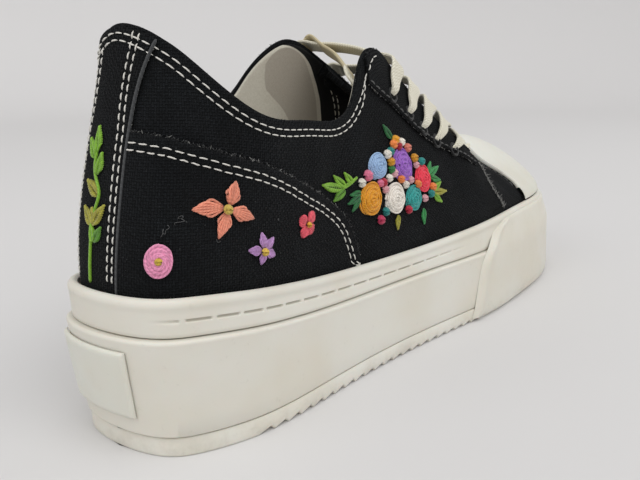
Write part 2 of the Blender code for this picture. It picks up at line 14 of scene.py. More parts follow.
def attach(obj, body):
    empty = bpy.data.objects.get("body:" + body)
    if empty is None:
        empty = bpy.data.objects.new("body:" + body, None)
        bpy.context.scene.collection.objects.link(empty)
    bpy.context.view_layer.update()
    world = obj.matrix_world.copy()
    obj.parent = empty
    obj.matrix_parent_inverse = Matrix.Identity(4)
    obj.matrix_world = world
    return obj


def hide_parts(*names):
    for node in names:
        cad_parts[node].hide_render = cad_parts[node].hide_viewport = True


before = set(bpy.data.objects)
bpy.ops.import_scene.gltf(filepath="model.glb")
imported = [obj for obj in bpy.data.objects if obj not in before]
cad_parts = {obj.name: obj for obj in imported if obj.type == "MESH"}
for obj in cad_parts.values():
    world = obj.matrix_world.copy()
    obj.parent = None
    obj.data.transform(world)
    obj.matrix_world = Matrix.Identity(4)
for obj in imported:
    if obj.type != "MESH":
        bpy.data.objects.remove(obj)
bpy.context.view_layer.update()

bl_info = {
    "name": "Platform sneaker",
    "version": (1, 0, 0),
    "blender": (4, 5, 0),
    "location": "3D view > sidebar > Sneaker",
    "description": "Dresses the packed solids of a canvas platform sneaker",
    "category": "Add Mesh",
}

MM = 0.001
BODY = "root"
ORIGIN = np.array([137.969, 1.253, 0.0])   # the frame's origin, from the back of the tread

# Sizes of the sole and of the last that the upper is drawn over.
GAP = 0.3
SOLE_LENGTH = 280.0
TOE_TIP_Y = 6.0
TREAD_TOP = 5.5
TOE_SPRING = 4.2
SPRING_START = 215.0
RIB_START = 26.0
RIB_END = 150.0
RIB_COUNT = 22
RIB_DEPTH = 1.3
RIB_RISE_SHARE = 0.8
HEEL_FLARE_REACH = 45.0
LEDGE_INSET = 0.8
LEDGE_FLARE = 5.6
BAND_STEP = 1.6
CANVAS_INSET = 6.2
CANVAS_FLARE = 7.3
REAR_ROOM = 1.9
REAR_ROOM_END = 100.0
REAR_ROOM_FADE = 40.0
LIP = 2.6
WALL = 2.0
CANVAS_WALL = 1.1        # canvas, the rest of the wall is lining
LINING_TOP = 0.975        # the lining ends a little below the canvas
INSOLE_THICK = 4.0
TONGUE_WALL = 2.2
TONGUE_CROWN = 0.15
TONGUE_SAG = 6.0
TONGUE_FOOT = 228.0
TONGUE_TOP_OUTER = 140.0
TONGUE_TOP_INNER = 134.0
CAP_EDGE_X = 205.5
CAP_SIDE_X = 207.5
CAP_WALL = 1.9
PANEL_OUT = 1.3           # outside of a canvas panel above the upper
PANEL_WALL = 0.8
PANEL_LOW = 0.02
PANEL_HIGH = 0.985
PANEL_FOOT = -0.3         # panels run down behind the foxing
COUNTER_FRONT = 82.5
STAY_START = 104.0
STAY_END = 236.0
BUMPER_PROUD = 1.3
BUMPER_LOW = 1.4
PLATE_PROUD = 1.2
PLATE_CENTRE = -4.0
PLATE_HALF = 13.5
PLATE_LOW = 11.5
PLATE_UNDER_LEDGE = 3.6
LACE_OVER = 3.6
QUARTER_BAND = 0.03       # share of the way round that the quarter's front end takes up
HEEL_ROSE_NARROW = 0.68   # width of the heel's rose against its height
ROUND_MM = 680.0          # about how far it is round the wall, and up it
UP_MM = 62.0
FLOOR_FLAT = 1500.0       # radius of the studio floor's flat, and of the sweep up from it
FLOOR_SWEEP = 700.0

Plan = namedtuple("Plan", "x outer inner")
SOLE_PLAN = (
    Plan(x=3, outer=15.7, inner=15.7),
    Plan(x=10, outer=22.5, inner=22.5),
    Plan(x=28, outer=29.8, inner=29.8),
    Plan(x=56, outer=32.4, inner=33.4),
    Plan(x=90, outer=34.4, inner=33.2),
    Plan(x=126, outer=39.2, inner=34.4),
    Plan(x=162, outer=44.6, inner=39.8),
    Plan(x=196, outer=45.2, inner=46.6),
    Plan(x=230, outer=42.6, inner=46.6),
    Plan(x=258, outer=31.2, inner=36.6),
    Plan(x=273, outer=15.5, inner=22.5),
)

Height = namedtuple("Height", "x ledge band_top")
SOLE_HEIGHTS = (
    Height(x=-10, ledge=35.7, band_top=46.8),
    Height(x=12, ledge=34.1, band_top=45.0),
    Height(x=40, ledge=30.7, band_top=41.2),
    Height(x=75, ledge=28.1, band_top=38.0),
    Height(x=115, ledge=27.5, band_top=37.2),
    Height(x=180, ledge=27.6, band_top=40.2),
    Height(x=235, ledge=28.7, band_top=41.2),
    Height(x=290, ledge=31.5, band_top=42.2),
)

Section = namedtuple("Section", "x top_x top_outer top_inner top_z lift rise swell crown drop")
UPPER_SECTIONS = (
    Section(0, 14.6, -3.0, 3.0, 114.0, 0.0, .35, 0.4, .22, .35),
    Section(4, 16.4, 9.7, 12.8, 109.9, 0.0, .35, 0.4, .22, .35),
    Section(14, 22.2, 14.9, 17.1, 104.0, 0.0, .35, 1.4, .22, .35),
    Section(34, 36.9, 23.3, 25.0, 90.7, 0.0, .35, 2.0, .15, .35),
    Section(62, 62.0, 23.5, 26.5, 86.7, 0.3, .35, 2.0, .15, .35),
    Section(88, 86.0, 22.0, 29.6, 91.0, 4.8, .35, 1.5, .20, .30),
    Section(100, 93.0, 20.5, 26.4, 103.0, 1.8, .35, 1.5, .25, .30),
    Section(112, 103.0, 19.0, 20.5, 108.8, 4.0, .36, 1.5, .28, .28),
    Section(125, 116.0, 17.5, 18.4, 103.0, 7.0, .38, 1.5, .30, .25),
    Section(148, 134.0, 16.0, 13.0, 93.0, 5.0, .40, 1.5, .34, .22),
    Section(178, 157.0, 14.5, 13.0, 80.5, 2.8, .40, 1.0, .32, .22),
    Section(208, 177.0, 13.0, 14.0, 68.5, 0.0, .30, 0.0, .20, .26),
    Section(238, 192.0, 10.5, 11.5, 62.0, 0.0, .32, 0.0, .28, .18),
    Section(262, 200.0, 5.0, 7.0, 66.0, 0.0, .34, 0.0, .30, -.11),
    Section(280, 202.0, -1.5, 1.5, 67.5, 0.0, .40, 0.0, .30, -.17),
)

Strip = namedtuple("Strip", "up middle half")
HEEL_STRIP = (
    Strip(up=0.0, middle=-6.8, half=11.2),
    Strip(up=0.35, middle=-6.2, half=12.5),
    Strip(up=0.6, middle=-5.6, half=13.3),
    Strip(up=0.85, middle=-4.0, half=16.1),
    Strip(up=1.0, middle=-2.0, half=19.5),
)

Edge = namedtuple("Edge", "x z")
COUNTER_EDGE = (
    Edge(x=-2, z=87.0),
    Edge(x=17, z=81.2),
    Edge(x=37, z=75.3),
    Edge(x=60, z=65.0),
    Edge(x=72.7, z=56.9),
    Edge(x=78.6, z=48.5),
    Edge(x=82.5, z=38.0),
)

Seam = namedtuple("Seam", "x up")
STAY_SEAM = (
    Seam(x=102, up=.87),
    Seam(x=110, up=.735),
    Seam(x=123, up=.625),
    Seam(x=136, up=.56),
    Seam(x=150, up=.505),
    Seam(x=170, up=.42),
)

Front = namedtuple("Front", "share x")
BUMPER_EDGE = (
    Front(share=0.0, x=144.0),
    Front(share=0.3, x=148.0),
    Front(share=0.55, x=151.0),
    Front(share=0.8, x=158.5),
    Front(share=1.0, x=178.0),
)

Lace = namedtuple("Lace", "eyelet_x eyelet_up edge_x")
LACE_BARS = (
    Lace(eyelet_x=115.5, eyelet_up=.745, edge_x=126.0),
    Lace(eyelet_x=125.5, eyelet_up=.685, edge_x=144.5),
    Lace(eyelet_x=133.5, eyelet_up=.62, edge_x=165.0),
    Lace(eyelet_x=141.5, eyelet_up=.56, edge_x=186.0),
    Lace(eyelet_x=153.0, eyelet_up=.515, edge_x=210.5),
    Lace(eyelet_x=180.0, eyelet_up=.64, edge_x=234.0),
)

# The lace's slack pass: points over the throat, then down over the inner facing and into the wall.
# share is how much of the lace's full width is seen there.
Loose = namedtuple("Loose", "x y z")
SLACK_PASS = (
    Loose(98.2, -14.0, 97.9), Loose(102.9, -10.0, 100.1), Loose(108.5, -4.0, 103.2),
    Loose(113.8, 4.0, 106.9), Loose(117.4, 12.0, 110.2), Loose(119.0, 18.0, 112.3),
)
Tuck = namedtuple("Tuck", "x up out share")
SLACK_END = (
    Tuck(126.0, .985, 2.2, .85), Tuck(124.0, .93, 2.6, .85), Tuck(120.5, .86, 2.2, .7),
    Tuck(118.0, .80, 0.6, .5), Tuck(117.5, .78, -CANVAS_WALL, .45),
)

# Lines on the wall: place round the shoe and height on the wall. Front edge of the quarters' lining,
# where the black facing inside the throat starts, the facing's seam beside it, the rear edge of the
# greyer patch on the inner quarter, and the raw front edge of the quarters.
Mark = namedtuple("Mark", "place up")
LINING_FRONT = (
    Mark(.752, .30), Mark(.7525, .50), Mark(.7535, .607), Mark(.7553, .719), Mark(.7587, .802),
    Mark(.7649, .904), Mark(.7689, .93), Mark(.7815, .968), Mark(.793, 1.0),
)
FACING_SEAM = (Mark(.737, .58), Mark(.7385, .695), Mark(.7437, .839), Mark(.7541, .965))
LINING_PATCH = (
    Mark(.772, .30), Mark(.779, .50), Mark(.7853, .625), Mark(.7913, .724), Mark(.7951, .797),
    Mark(.7953, .872), Mark(.7941, .938), Mark(.7899, .96), Mark(.7815, .968),
)
QUARTER_FRONT = (
    Mark(.3125, .03), Mark(.3104, .075), Mark(.3046, .17),
    Mark(.301, .264), Mark(.3015, .365), Mark(.3068, .484),
)

# Stray fibres on the rear panel: x from the heel, height and reach.
Fibre = namedtuple("Fibre", "x z reach")
LINT = (Fibre(9.0, 61.0, 1.8), Fibre(11.5, 63.0, 1.2), Fibre(20.0, 58.0, 0.5), Fibre(42.0, 60.0, 0.5))

# Soft folds of the canvas: middle, direction in degrees, half length, half width and depth in millimetres.
Crease = namedtuple("Crease", "place up turn length width depth")
CREASES = (
    Crease(.165, .72, 70, 20, 5.0, -.9),
    Crease(.150, .78, 80, 16, 4.0, .7),
    Crease(.182, .62, 62, 22, 5.0, .6),
    Crease(.120, .70, 10, 26, 4.5, -.7),
    Crease(.080, .66, -5, 22, 4.0, .6),
    Crease(.262, .30, 105, 20, 6.0, -.9),
    Crease(.285, .34, 100, 20, 5.0, .7),
    Crease(.322, .40, 115, 16, 4.0, -1.0),
    Crease(.336, .48, 110, 14, 3.5, .8),
    Crease(.678, .40, 65, 16, 4.0, -1.0),
    Crease(.664, .48, 70, 14, 3.5, .8),
    Crease(.738, .30, 75, 20, 6.0, -.9),
    Crease(.835, .72, 110, 20, 5.0, -.9),
    Crease(.850, .78, 100, 16, 4.0, .7),
    Crease(.880, .70, 170, 26, 4.5, -.7),
)

# Embroidery on the outer side: x from the heel and z above the floor, size is a radius.
# Roses may be longer than wide, with their long way lean degrees up from the toe's direction.
Motif = namedtuple("Motif", "x z size tint")
Rose = namedtuple("Rose", "x z size long lean tint")
ROSES = (
    Rose(95.1, 69.1, 4.95, 0.94, 90, (158, 190, 228)),
    Rose(109.6, 68.1, 5.3, 1.2, 115, (168, 108, 210)),
    Rose(121.8, 61.5, 4.85, 1.08, 100, (250, 62, 86)),
    Rose(89.9, 58.5, 5.95, 0.96, 90, (228, 156, 24)),
    Rose(103.5, 56.6, 5.65, 0.98, 80, (244, 238, 228)),
    Rose(114.7, 55.2, 4.75, 0.99, 90, (52, 172, 166)),
)
HEEL_ROSE = Motif(5.8, 54.6, 4.0, (234, 150, 186))
CREAM = (240, 234, 222)
MUSTARD = (226, 158, 30)
ORANGE = (246, 138, 66)
CRIMSON = (176, 16, 50)
TEAL = (24, 136, 132)
PINK = (228, 118, 150)
BLUSH = (230, 172, 180)
KNOTS = (
    Motif(106.7, 77.2, 1.8, MUSTARD), Motif(110.2, 76.1, 1.7, CREAM), Motif(105.0, 75.5, 1.8, ORANGE),
    Motif(108.1, 74.6, 1.6, CRIMSON), Motif(113.6, 73.6, 1.8, (232, 132, 110)),
    Motif(103.0, 73.5, 1.7, TEAL), Motif(100.8, 72.6, 1.8, CREAM), Motif(102.3, 69.9, 1.8, MUSTARD),
    Motif(102.4, 67.1, 1.6, (40, 126, 60)),
    Motif(117.3, 69.5, 1.8, MUSTARD), Motif(121.8, 67.7, 1.7, TEAL), Motif(118.0, 67.1, 1.5, BLUSH),
    Motif(88.7, 66.7, 2.1, PINK), Motif(84.7, 64.6, 1.7, CREAM), Motif(103.6, 65.6, 1.7, BLUSH),
    Motif(100.8, 64.2, 1.6, CREAM), Motif(97.4, 63.3, 1.7, CRIMSON), Motif(95.5, 63.3, 1.5, PINK),
    Motif(107.3, 63.0, 1.7, ORANGE), Motif(113.1, 62.0, 1.6, BLUSH), Motif(117.4, 60.3, 1.7, ORANGE),
    Motif(127.1, 58.0, 1.8, ORANGE), Motif(110.0, 60.9, 1.6, CREAM), Motif(97.8, 60.8, 1.6, BLUSH),
    Motif(125.5, 55.6, 1.7, TEAL), Motif(121.1, 54.3, 1.6, BLUSH), Motif(110.7, 51.8, 1.7, CRIMSON),
    Motif(97.3, 52.9, 1.7, TEAL), Motif(94.3, 50.6, 1.8, (206, 50, 94)),
    Motif(23.4, 65.7, 1.5, (216, 186, 84)), Motif(34.8, 52.1, 1.3, (222, 186, 76)),
    Motif(5.8, 54.6, 1.1, (206, 176, 60)), Motif(54.6, 56.4, 1.0, (226, 168, 52)),
)

# Satin flowers: the middle, each petal's direction in degrees and length, their width and bluntness.
Flower = namedtuple("Flower", "x z petals width blunt tint")
FLOWERS = (
    Flower(24.3, 65.7, ((89, 7.9), (192, 11.9), (262, 8.2), (-5, 8.7)), 4.0, 0.1, (240, 150, 122)),
    Flower(35.4, 52.1, ((111, 5.6), (51, 5.2), (-17, 5.4), (-97, 4.1), (182, 6.3)), 2.5, 0.5,
           (200, 152, 212)),
    Flower(54.9, 56.3, ((50, 4.7), (152, 4.5), (242, 4.5), (-45, 4.3)), 3.4, 0.9, (240, 92, 108)),
)

# Leaves: foot of the leaf, direction in degrees, length, width.
Leaf = namedtuple("Leaf", "x z turn length width tint")
GREEN = (52, 150, 78)
LIME = (128, 180, 44)
OLIVE = (164, 160, 54)
LEAVES = (
    Leaf(104.9, 77.6, 114, 7.0, 2.4, (24, 100, 48)),
    Leaf(120.4, 50.5, -87, 5.8, 2.4, GREEN),
    Leaf(104.8, 50.8, -104, 5.2, 2.4, OLIVE),
    Leaf(125.5, 62.6, 66, 5.6, 2.4, GREEN),
    Leaf(126.5, 62.2, 28, 7.4, 2.6, GREEN),
    Leaf(127.0, 61.4, -10, 6.2, 2.4, (54, 138, 66)),
    Leaf(128.0, 56.4, 32, 6.0, 2.4, LIME),
    Leaf(128.1, 55.7, 0, 8.4, 2.6, OLIVE),
    Leaf(127.6, 55.0, -34, 6.0, 2.4, LIME),
    Leaf(75.2, 64.1, 167, 11.0, 2.8, LIME),
    Leaf(77.1, 64.6, 137, 6.5, 2.4, LIME),
    Leaf(76.5, 63.6, 205, 6.6, 2.6, (92, 146, 32)),
    Leaf(80.5, 65.1, 118, 5.0, 2.2, LIME),
    Leaf(75.2, 64.1, 10, 8.0, 0.8, LIME),
    Leaf(84.3, 60.5, 187, 7.0, 2.2, (24, 104, 52)),
    Leaf(84.0, 59.6, 210, 6.0, 2.0, (30, 112, 54)),
    Leaf(84.6, 61.4, 168, 5.6, 2.0, (30, 112, 54)),
)

# Vine up the heel strip: height on the wall and millimetres round the heel to the outer side.
Stem = namedtuple("Stem", "up across")
VINE = (
    Stem(.01, -5.8), Stem(.08, -5.5), Stem(.151, -5.0), Stem(.20, -4.7), Stem(.25, -4.2), Stem(.302, -3.1),
    Stem(.358, -1.9), Stem(.421, -4.3), Stem(.49, -5.2), Stem(.53, -4.6),
)
Sprig = namedtuple("Sprig", "up across turn length width tint")
VINE_LEAVES = (
    Sprig(.170, -3.6, 102, 4.8, 2.4, LIME),
    Sprig(.170, -3.3, 55, 5.0, 2.4, (86, 140, 34)),
    Sprig(.233, -4.5, 128, 6.2, 3.0, OLIVE),
    Sprig(.233, -4.4, 90, 4.6, 2.6, OLIVE),
    Sprig(.233, -4.3, 49, 7.3, 3.0, OLIVE),
    Sprig(.346, -2.1, 144, 7.1, 3.4, OLIVE),
    Sprig(.428, -3.4, 76, 5.8, 2.8, LIME),
    Sprig(.491, -5.6, 117, 6.3, 2.8, LIME),
    Sprig(.516, -4.5, 89, 6.7, 2.8, LIME),
)

# Camera in the same millimetres, with its turns in radians, and its lens and sensor.
CAMERA_AT = (-108.203, -148.248, 100.862)
CAMERA_YAW = 0.624381
CAMERA_PITCH = 0.238900
CAMERA_ROLL = -0.0145013
CAMERA_LENS = 38.8
CAMERA_SENSOR = 36.0


def paint(red, green, blue):
    """Linear colour of an 8-bit display colour."""
    share = np.array([red, green, blue]) / 255
    return tuple(np.where(share <= 0.04045, share / 12.92, ((share + 0.055) / 1.055) ** 2.4))


# Curves of the sole and the last

def spline(knots, rows, at, period=None):
    """Cubic spline through rows of values, read at the given places. With a period it closes on itself."""
    knots = np.asarray(knots, float)
    rows = np.asarray(rows, float).reshape(len(knots), -1)
    at = np.atleast_1d(np.asarray(at, float))
    count = len(knots)
    if period:
        ahead = np.append(knots[1:], knots[0] + period)
        values_ahead = np.roll(rows, -1, axis=0)
        span = ahead - knots
        matrix = np.zeros((count, count))
        for i in range(count):
            matrix[i, i - 1] = span[i - 1]
            matrix[i, i] = 2 * (span[i - 1] + span[i])
            matrix[i, (i + 1) % count] = span[i]
        slope = (values_ahead - rows) / span[:, None]
        bend = np.linalg.solve(matrix, 6 * (slope - np.roll(slope, 1, axis=0)))
        bend_ahead = np.roll(bend, -1, axis=0)
        at = knots[0] + (at - knots[0]) % period
        index = np.clip(np.searchsorted(knots, at, side="right") - 1, 0, count - 1)
    else:
        span = np.diff(knots)
        matrix = np.eye(count)
        slope = np.diff(rows, axis=0) / span[:, None]
        right = np.zeros_like(rows)
        for i in range(1, count - 1):
            matrix[i, i - 1:i + 2] = span[i - 1], 2 * (span[i - 1] + span[i]), span[i]
            right[i] = 6 * (slope[i] - slope[i - 1])
        bend = np.linalg.solve(matrix, right)
        bend_ahead = bend[1:]
        values_ahead = rows[1:]
        index = np.clip(np.searchsorted(knots, at, side="right") - 1, 0, count - 2)
    step = span[index][:, None]
    b = (at[:, None] - knots[index][:, None]) / step
    a = 1 - b
    return (a * rows[index] + b * values_ahead[index]
            + ((a ** 3 - a) * bend[index] + (b ** 3 - b) * bend_ahead[index]) * step ** 2 / 6)


def curve(table, across, value, at):
    """Smooth line through two columns of a table, read at the given places."""
    return spline([getattr(row, across) for row in table], [getattr(row, value) for row in table], at)[:, 0]


def lengths_along(points, axis=0):
    """Distance from the start to each point of one or more lines."""
    steps = np.linalg.norm(np.diff(points, axis=axis), axis=-1)
    start = np.zeros_like(np.take(steps, [0], axis=axis))
    return np.cumsum(np.concatenate([start, steps], axis=axis), axis=axis)


def read_along(rows, far, at):
    """Rows of values known at distances along a line, read at other distances."""
    return np.column_stack([np.interp(at, far, rows[:, k]) for k in range(rows.shape[1])])


def outline_rows():
    """Points of the tread's outline and their places along it: outer side to the toe, inner side back."""
    outer = [(row.x, -row.outer) for row in SOLE_PLAN]
    inner = [(row.x, row.inner) for row in SOLE_PLAN]
    points = np.array([(0, 0)] + outer + [(SOLE_LENGTH, TOE_TIP_Y)] + inner[::-1])
    steps = np.linalg.norm(np.diff(np.vstack([points, points[:1]]), axis=0), axis=1) ** 0.5
    steps = (steps + steps[::-1]) / 2
    places = np.concatenate([[0], np.cumsum(steps)])
    return points, places[:-1] / places[-1]


OUTLINE_POINTS, OUTLINE_PLACES = outline_rows()


def outline(place):
    """Tread outline at a place from 0 (back of the heel) over the outer side and 0.5 (toe tip) to 1."""
    return spline(OUTLINE_PLACES, OUTLINE_POINTS, place, period=1.0)


ROUND = np.linspace(0, 1, 2001)
ROUND_POINTS = outline(ROUND)
ROUND_LENGTHS = lengths_along(ROUND_POINTS)


def arc(place):
    """Distance along the tread's outline."""
    return np.interp(np.asarray(place) % 1, ROUND, ROUND_LENGTHS)


def heel_place(distance):
    """Place at a distance round the back of the heel, counted towards the outer side."""
    distance = np.asarray(distance, float)
    found = np.interp(np.abs(distance), ROUND_LENGTHS, ROUND)
    back = 1 - np.interp(ROUND_LENGTHS[-1] - np.abs(distance), ROUND_LENGTHS, ROUND)
    return np.where(distance >= 0, found, -back)


def outward(place):
    """Unit direction in plan that points out of the outline."""
    step = 0.0005
    along = outline(np.asarray(place) + step) - outline(np.asarray(place) - step)
    along /= np.linalg.norm(along, axis=1, keepdims=True)
    return np.column_stack([along[:, 1], -along[:, 0]])


def place_of(x, inner=False):
    """Place along the outline at a distance from the heel, on the outer or the inner side."""
    half = len(ROUND) // 2 + 1
    found = np.interp(x, ROUND_POINTS[:half, 0], ROUND[:half])
    return 1 - found if inner else found


def ledge(x):
    return curve(SOLE_HEIGHTS, "x", "ledge", x)


def band_top(x):
    return curve(SOLE_HEIGHTS, "x", "band_top", x)


def spring(x):
    share = np.clip((np.asarray(x, float) - SPRING_START) / (SOLE_LENGTH - SPRING_START), 0, 1)
    return TOE_SPRING * share ** 2


def flare(x):
    """1 at the back of the heel, falling to 0 where the side wall stands straight."""
    return np.clip(1 - np.asarray(x, float) / HEEL_FLARE_REACH, 0, 1) ** 1.5


def ledge_inset(x):
    return LEDGE_INSET - LEDGE_FLARE * flare(x)


def canvas_inset(x):
    return CANVAS_INSET - CANVAS_FLARE * flare(x)


def upper_inset(x):
    """Foot of the upper inside the foxing. At the rear it leaves room for the panels on the upper."""
    share = np.clip((REAR_ROOM_END - np.asarray(x, float)) / REAR_ROOM_FADE, 0, 1)
    return canvas_inset(x) + GAP + REAR_ROOM * share ** 2 * (3 - 2 * share)


def ring(place, inset, height):
    """Points round the shoe, moved in from the outline by inset and lifted to height."""
    plan = outline(place) - outward(place) * np.asarray(inset).reshape(-1, 1)
    return np.column_stack([plan, np.broadcast_to(height, (len(plan),))])


def spine(place, height):
    """Middle line of the sole under each place, so both sides end on the same points."""
    near = np.minimum(place % 1, 1 - place % 1)
    plan = (outline(near) + outline(1 - near)) / 2
    return np.column_stack([plan, np.broadcast_to(height, (len(plan),))])


def section_values(place):
    """All columns of the upper's table, blended smoothly round the shoe."""
    shape = [(row.rise, row.swell, row.crown, row.drop) for row in UPPER_SECTIONS]
    outer = [(row.top_x, -row.top_outer, row.top_z, *rest) for row, rest in zip(UPPER_SECTIONS, shape)]
    inner = [(row.top_x, row.top_inner, row.top_z + row.lift, *rest)
             for row, rest in zip(UPPER_SECTIONS, shape)]
    knots = [place_of(row.x) for row in UPPER_SECTIONS]
    knots += [1 - knot for knot in knots[-2:0:-1]]
    return spline(knots, outer + inner[-2:0:-1], place, period=1.0)


def upper_point(place, up):
    """Outside of the upper. up is -1 on the footbed, 0 at the foxing's top and 1 on the opening's edge."""
    place = np.atleast_1d(np.asarray(place, float))
    up = np.broadcast_to(np.asarray(up, float), place.shape)
    x = outline(place)[:, 0]
    foot = ring(place, upper_inset(x), band_top(x))
    values = section_values(place)
    top = values[:, :3]
    rise, swell, crown, drop = values[:, 3:].T
    height = top[:, 2] - foot[:, 2]
    out = np.column_stack([outward(place), np.zeros(len(place))])
    first = foot.copy()
    first[:, 2] += rise * height
    inwards = foot - top
    inwards[:, 2] = -drop * height
    second = top + inwards * np.column_stack([crown, crown, np.ones(len(place))]) + out * swell[:, None]
    t = np.clip(up, 0, 1)[:, None]
    wall = (1 - t) ** 3 * foot + 3 * t * (1 - t) ** 2 * first + 3 * t ** 2 * (1 - t) * second + t ** 3 * top
    wall[:, 2] += np.minimum(up, 0) * (band_top(x) - ledge(x) - GAP)
    return wall


def upper_normal(place, up):
    """Outward direction of the upper's outside."""
    place = np.atleast_1d(np.asarray(place, float))
    up = np.broadcast_to(np.asarray(up, float), place.shape)
    low = np.clip(up - 0.01, -1, 0.98)
    along = upper_point(place + 0.001, up) - upper_point(place - 0.001, up)
    rising = upper_point(place, low + 0.02) - upper_point(place, low)
    normal = np.cross(along, rising)
    return normal / np.linalg.norm(normal, axis=1, keepdims=True)


def folds(place, up):
    """Depth of the soft creases at points of the upper."""
    total = np.zeros_like(place)
    for row in CREASES:
        across = ((place - row.place + 0.5) % 1 - 0.5) * ROUND_MM
        rise = (up - row.up) * UP_MM
        turn = np.radians(row.turn)
        a = np.cos(turn) * across + np.sin(turn) * rise
        b = np.cos(turn) * rise - np.sin(turn) * across
        total += row.depth * np.exp(-(a / row.length) ** 2 - (b / row.width) ** 2)
    return total * np.clip(up * 6, 0, 1) * np.clip((1 - up) * 8, 0, 1)


def on_wall(place, up, out=0.0):
    """Points on the creased canvas, moved out along its normal."""
    place, up, out = np.broadcast_arrays(*[np.asarray(value, float) for value in (place, up, out)])
    lift = out.ravel() + folds(place.ravel(), up.ravel())
    found = upper_point(place.ravel(), up.ravel())
    found = found + upper_normal(place.ravel(), up.ravel()) * lift[:, None]
    return found.reshape(*place.shape, 3)


def wall_normal(place, up):
    place, up = np.broadcast_arrays(np.asarray(place, float), np.asarray(up, float))
    return upper_normal(place.ravel(), up.ravel()).reshape(*place.shape, 3)


CHART_PLACES, CHART_UPS = np.meshgrid(np.linspace(0.02, 0.42, 801), np.linspace(0, 1, 201), indexing="ij")
CHART_POINTS = upper_point(CHART_PLACES.ravel(), CHART_UPS.ravel())


def spot(x, z):
    """Place and height on the outer wall of a point given by its distance from the heel and its height."""
    nearest = np.argmin((CHART_POINTS[:, 0] - x) ** 2 + (CHART_POINTS[:, 2] - z) ** 2)
    return CHART_PLACES.ravel()[nearest], CHART_UPS.ravel()[nearest]


def flat_on_wall(place, up, flat, out):
    """Lays a flat drawing on the canvas round one spot, in millimetres to the toe, up and off the wall."""
    step = 0.002
    along = (upper_point(place + step, up) - upper_point(place - step, up))[0] / (2 * step)
    rising = (upper_point(place, up + step) - upper_point(place, up - step))[0] / (2 * step)
    normal = upper_normal(place, up)[0]
    right = along / np.linalg.norm(along)
    above = np.cross(normal, right)
    basis = np.array([[along @ right, rising @ right], [along @ above, rising @ above]])
    moves = np.linalg.solve(basis, np.asarray(flat)[:, :2].T).T
    return on_wall(place + moves[:, 0], np.clip(up + moves[:, 1], 0, 1), out + np.asarray(flat)[:, 2])


def beside(places, ups, inset):
    """A line on the wall moved sideways, inset millimetres to its left as seen from outside."""
    step = 0.002
    level = np.clip(ups, -0.9, 1 - 2 * step)
    along = (upper_point(places + step, level) - upper_point(places - step, level)) / (2 * step)
    rising = (upper_point(places, level + step) - upper_point(places, level - step)) / (2 * step)
    tangent = np.gradient(upper_point(places, level), axis=0)
    side = np.cross(upper_normal(places, level), tangent)
    side *= (inset / np.linalg.norm(side, axis=1))[:, None]
    aa, ar, rr = (along * along).sum(axis=1), (along * rising).sum(axis=1), (rising * rising).sum(axis=1)
    sa, sr = (side * along).sum(axis=1), (side * rising).sum(axis=1)
    spread = aa * rr - ar ** 2
    return places + (sa * rr - sr * ar) / spread, ups + (sr * aa - sa * ar) / spread


def panel_out(place, up):
    """Outside of a panel above the upper, held back where it runs down behind the foxing."""
    x = outline(place.ravel())[:, 0].reshape(place.shape)
    room = upper_inset(x) - canvas_inset(x) - 0.15
    return np.minimum(PANEL_OUT, room + PANEL_OUT * smooth(0.0, 0.06, up))


def round_edge(distance, radius):
    """0 on an edge, rising to 1 a radius inside it, as a quarter circle."""
    share = np.clip(np.asarray(distance, float) / radius, 0, 1)
    return np.sqrt(1 - (1 - share) ** 2)


def smooth(low, high, value):
    share = np.clip((np.asarray(value, float) - low) / (high - low), 0, 1)
    return share * share * (3 - 2 * share)


# Tools that make meshes

def to_frame(points):
    return (np.asarray(points, float) - ORIGIN) * MM


def deselect():
    if bpy.context.object and bpy.context.object.mode != "OBJECT":
        bpy.ops.object.mode_set(mode="OBJECT")
    bpy.ops.object.select_all(action="DESELECT")


def lay_grid(name, points, looks, marks=None):
    """A grid primitive whose corners are laid on rows of points. Its UV map is in metres along the cloth."""
    columns = points.shape[0] - 1
    rows = points.shape[1] - 1
    deselect()
    bpy.ops.mesh.primitive_grid_add(x_subdivisions=columns, y_subdivisions=rows, size=2)
    piece = bpy.context.object
    piece.name = name
    mesh = piece.data
    mesh.name = name
    corner = np.empty(len(mesh.vertices) * 3, np.float32)
    mesh.vertices.foreach_get("co", corner)
    corner = corner.reshape(-1, 3)
    i = np.rint((corner[:, 0] + 1) / 2 * columns).astype(int)
    j = np.rint((corner[:, 1] + 1) / 2 * rows).astype(int)
    mesh.vertices.foreach_set("co", to_frame(points[i, j]).astype(np.float32).ravel())
    middle = points.shape[1] // 2
    along = lengths_along(points[:, middle], 0)
    above = lengths_along(points, 1)
    uv = np.column_stack([along[i], above[i, j]]) * MM
    loops = np.empty(len(mesh.loops), np.int32)
    mesh.loops.foreach_get("vertex_index", loops)
    mesh.uv_layers[0].data.foreach_set("uv", uv[loops].astype(np.float32).ravel())
    for key, values in (marks or {}).items():
        layer = mesh.attributes.new(key, "FLOAT", "POINT")
        layer.data.foreach_set("value", np.asarray(values)[i, j].astype(np.float32))
    for look in looks:
        mesh.materials.append(look)
    bpy.ops.object.mode_set(mode="EDIT")
    bpy.ops.mesh.select_all(action="SELECT")
    bpy.ops.mesh.remove_doubles(threshold=2e-6)
    bpy.ops.object.mode_set(mode="OBJECT")
    bpy.ops.object.shade_smooth_by_angle(angle=np.radians(40))
    return piece


def thicken(piece, thickness):
    """Gives a sheet its wall, on the side away from its faces."""
    wall = piece.modifiers.new("wall", "SOLIDIFY")
    wall.thickness = thickness * MM
    wall.offset = -1.0
    wall.use_even_offset = True
    deselect()
    piece.select_set(True)
    bpy.context.view_layer.objects.active = piece
    bpy.ops.object.modifier_apply(modifier=wall.name)
    return piece


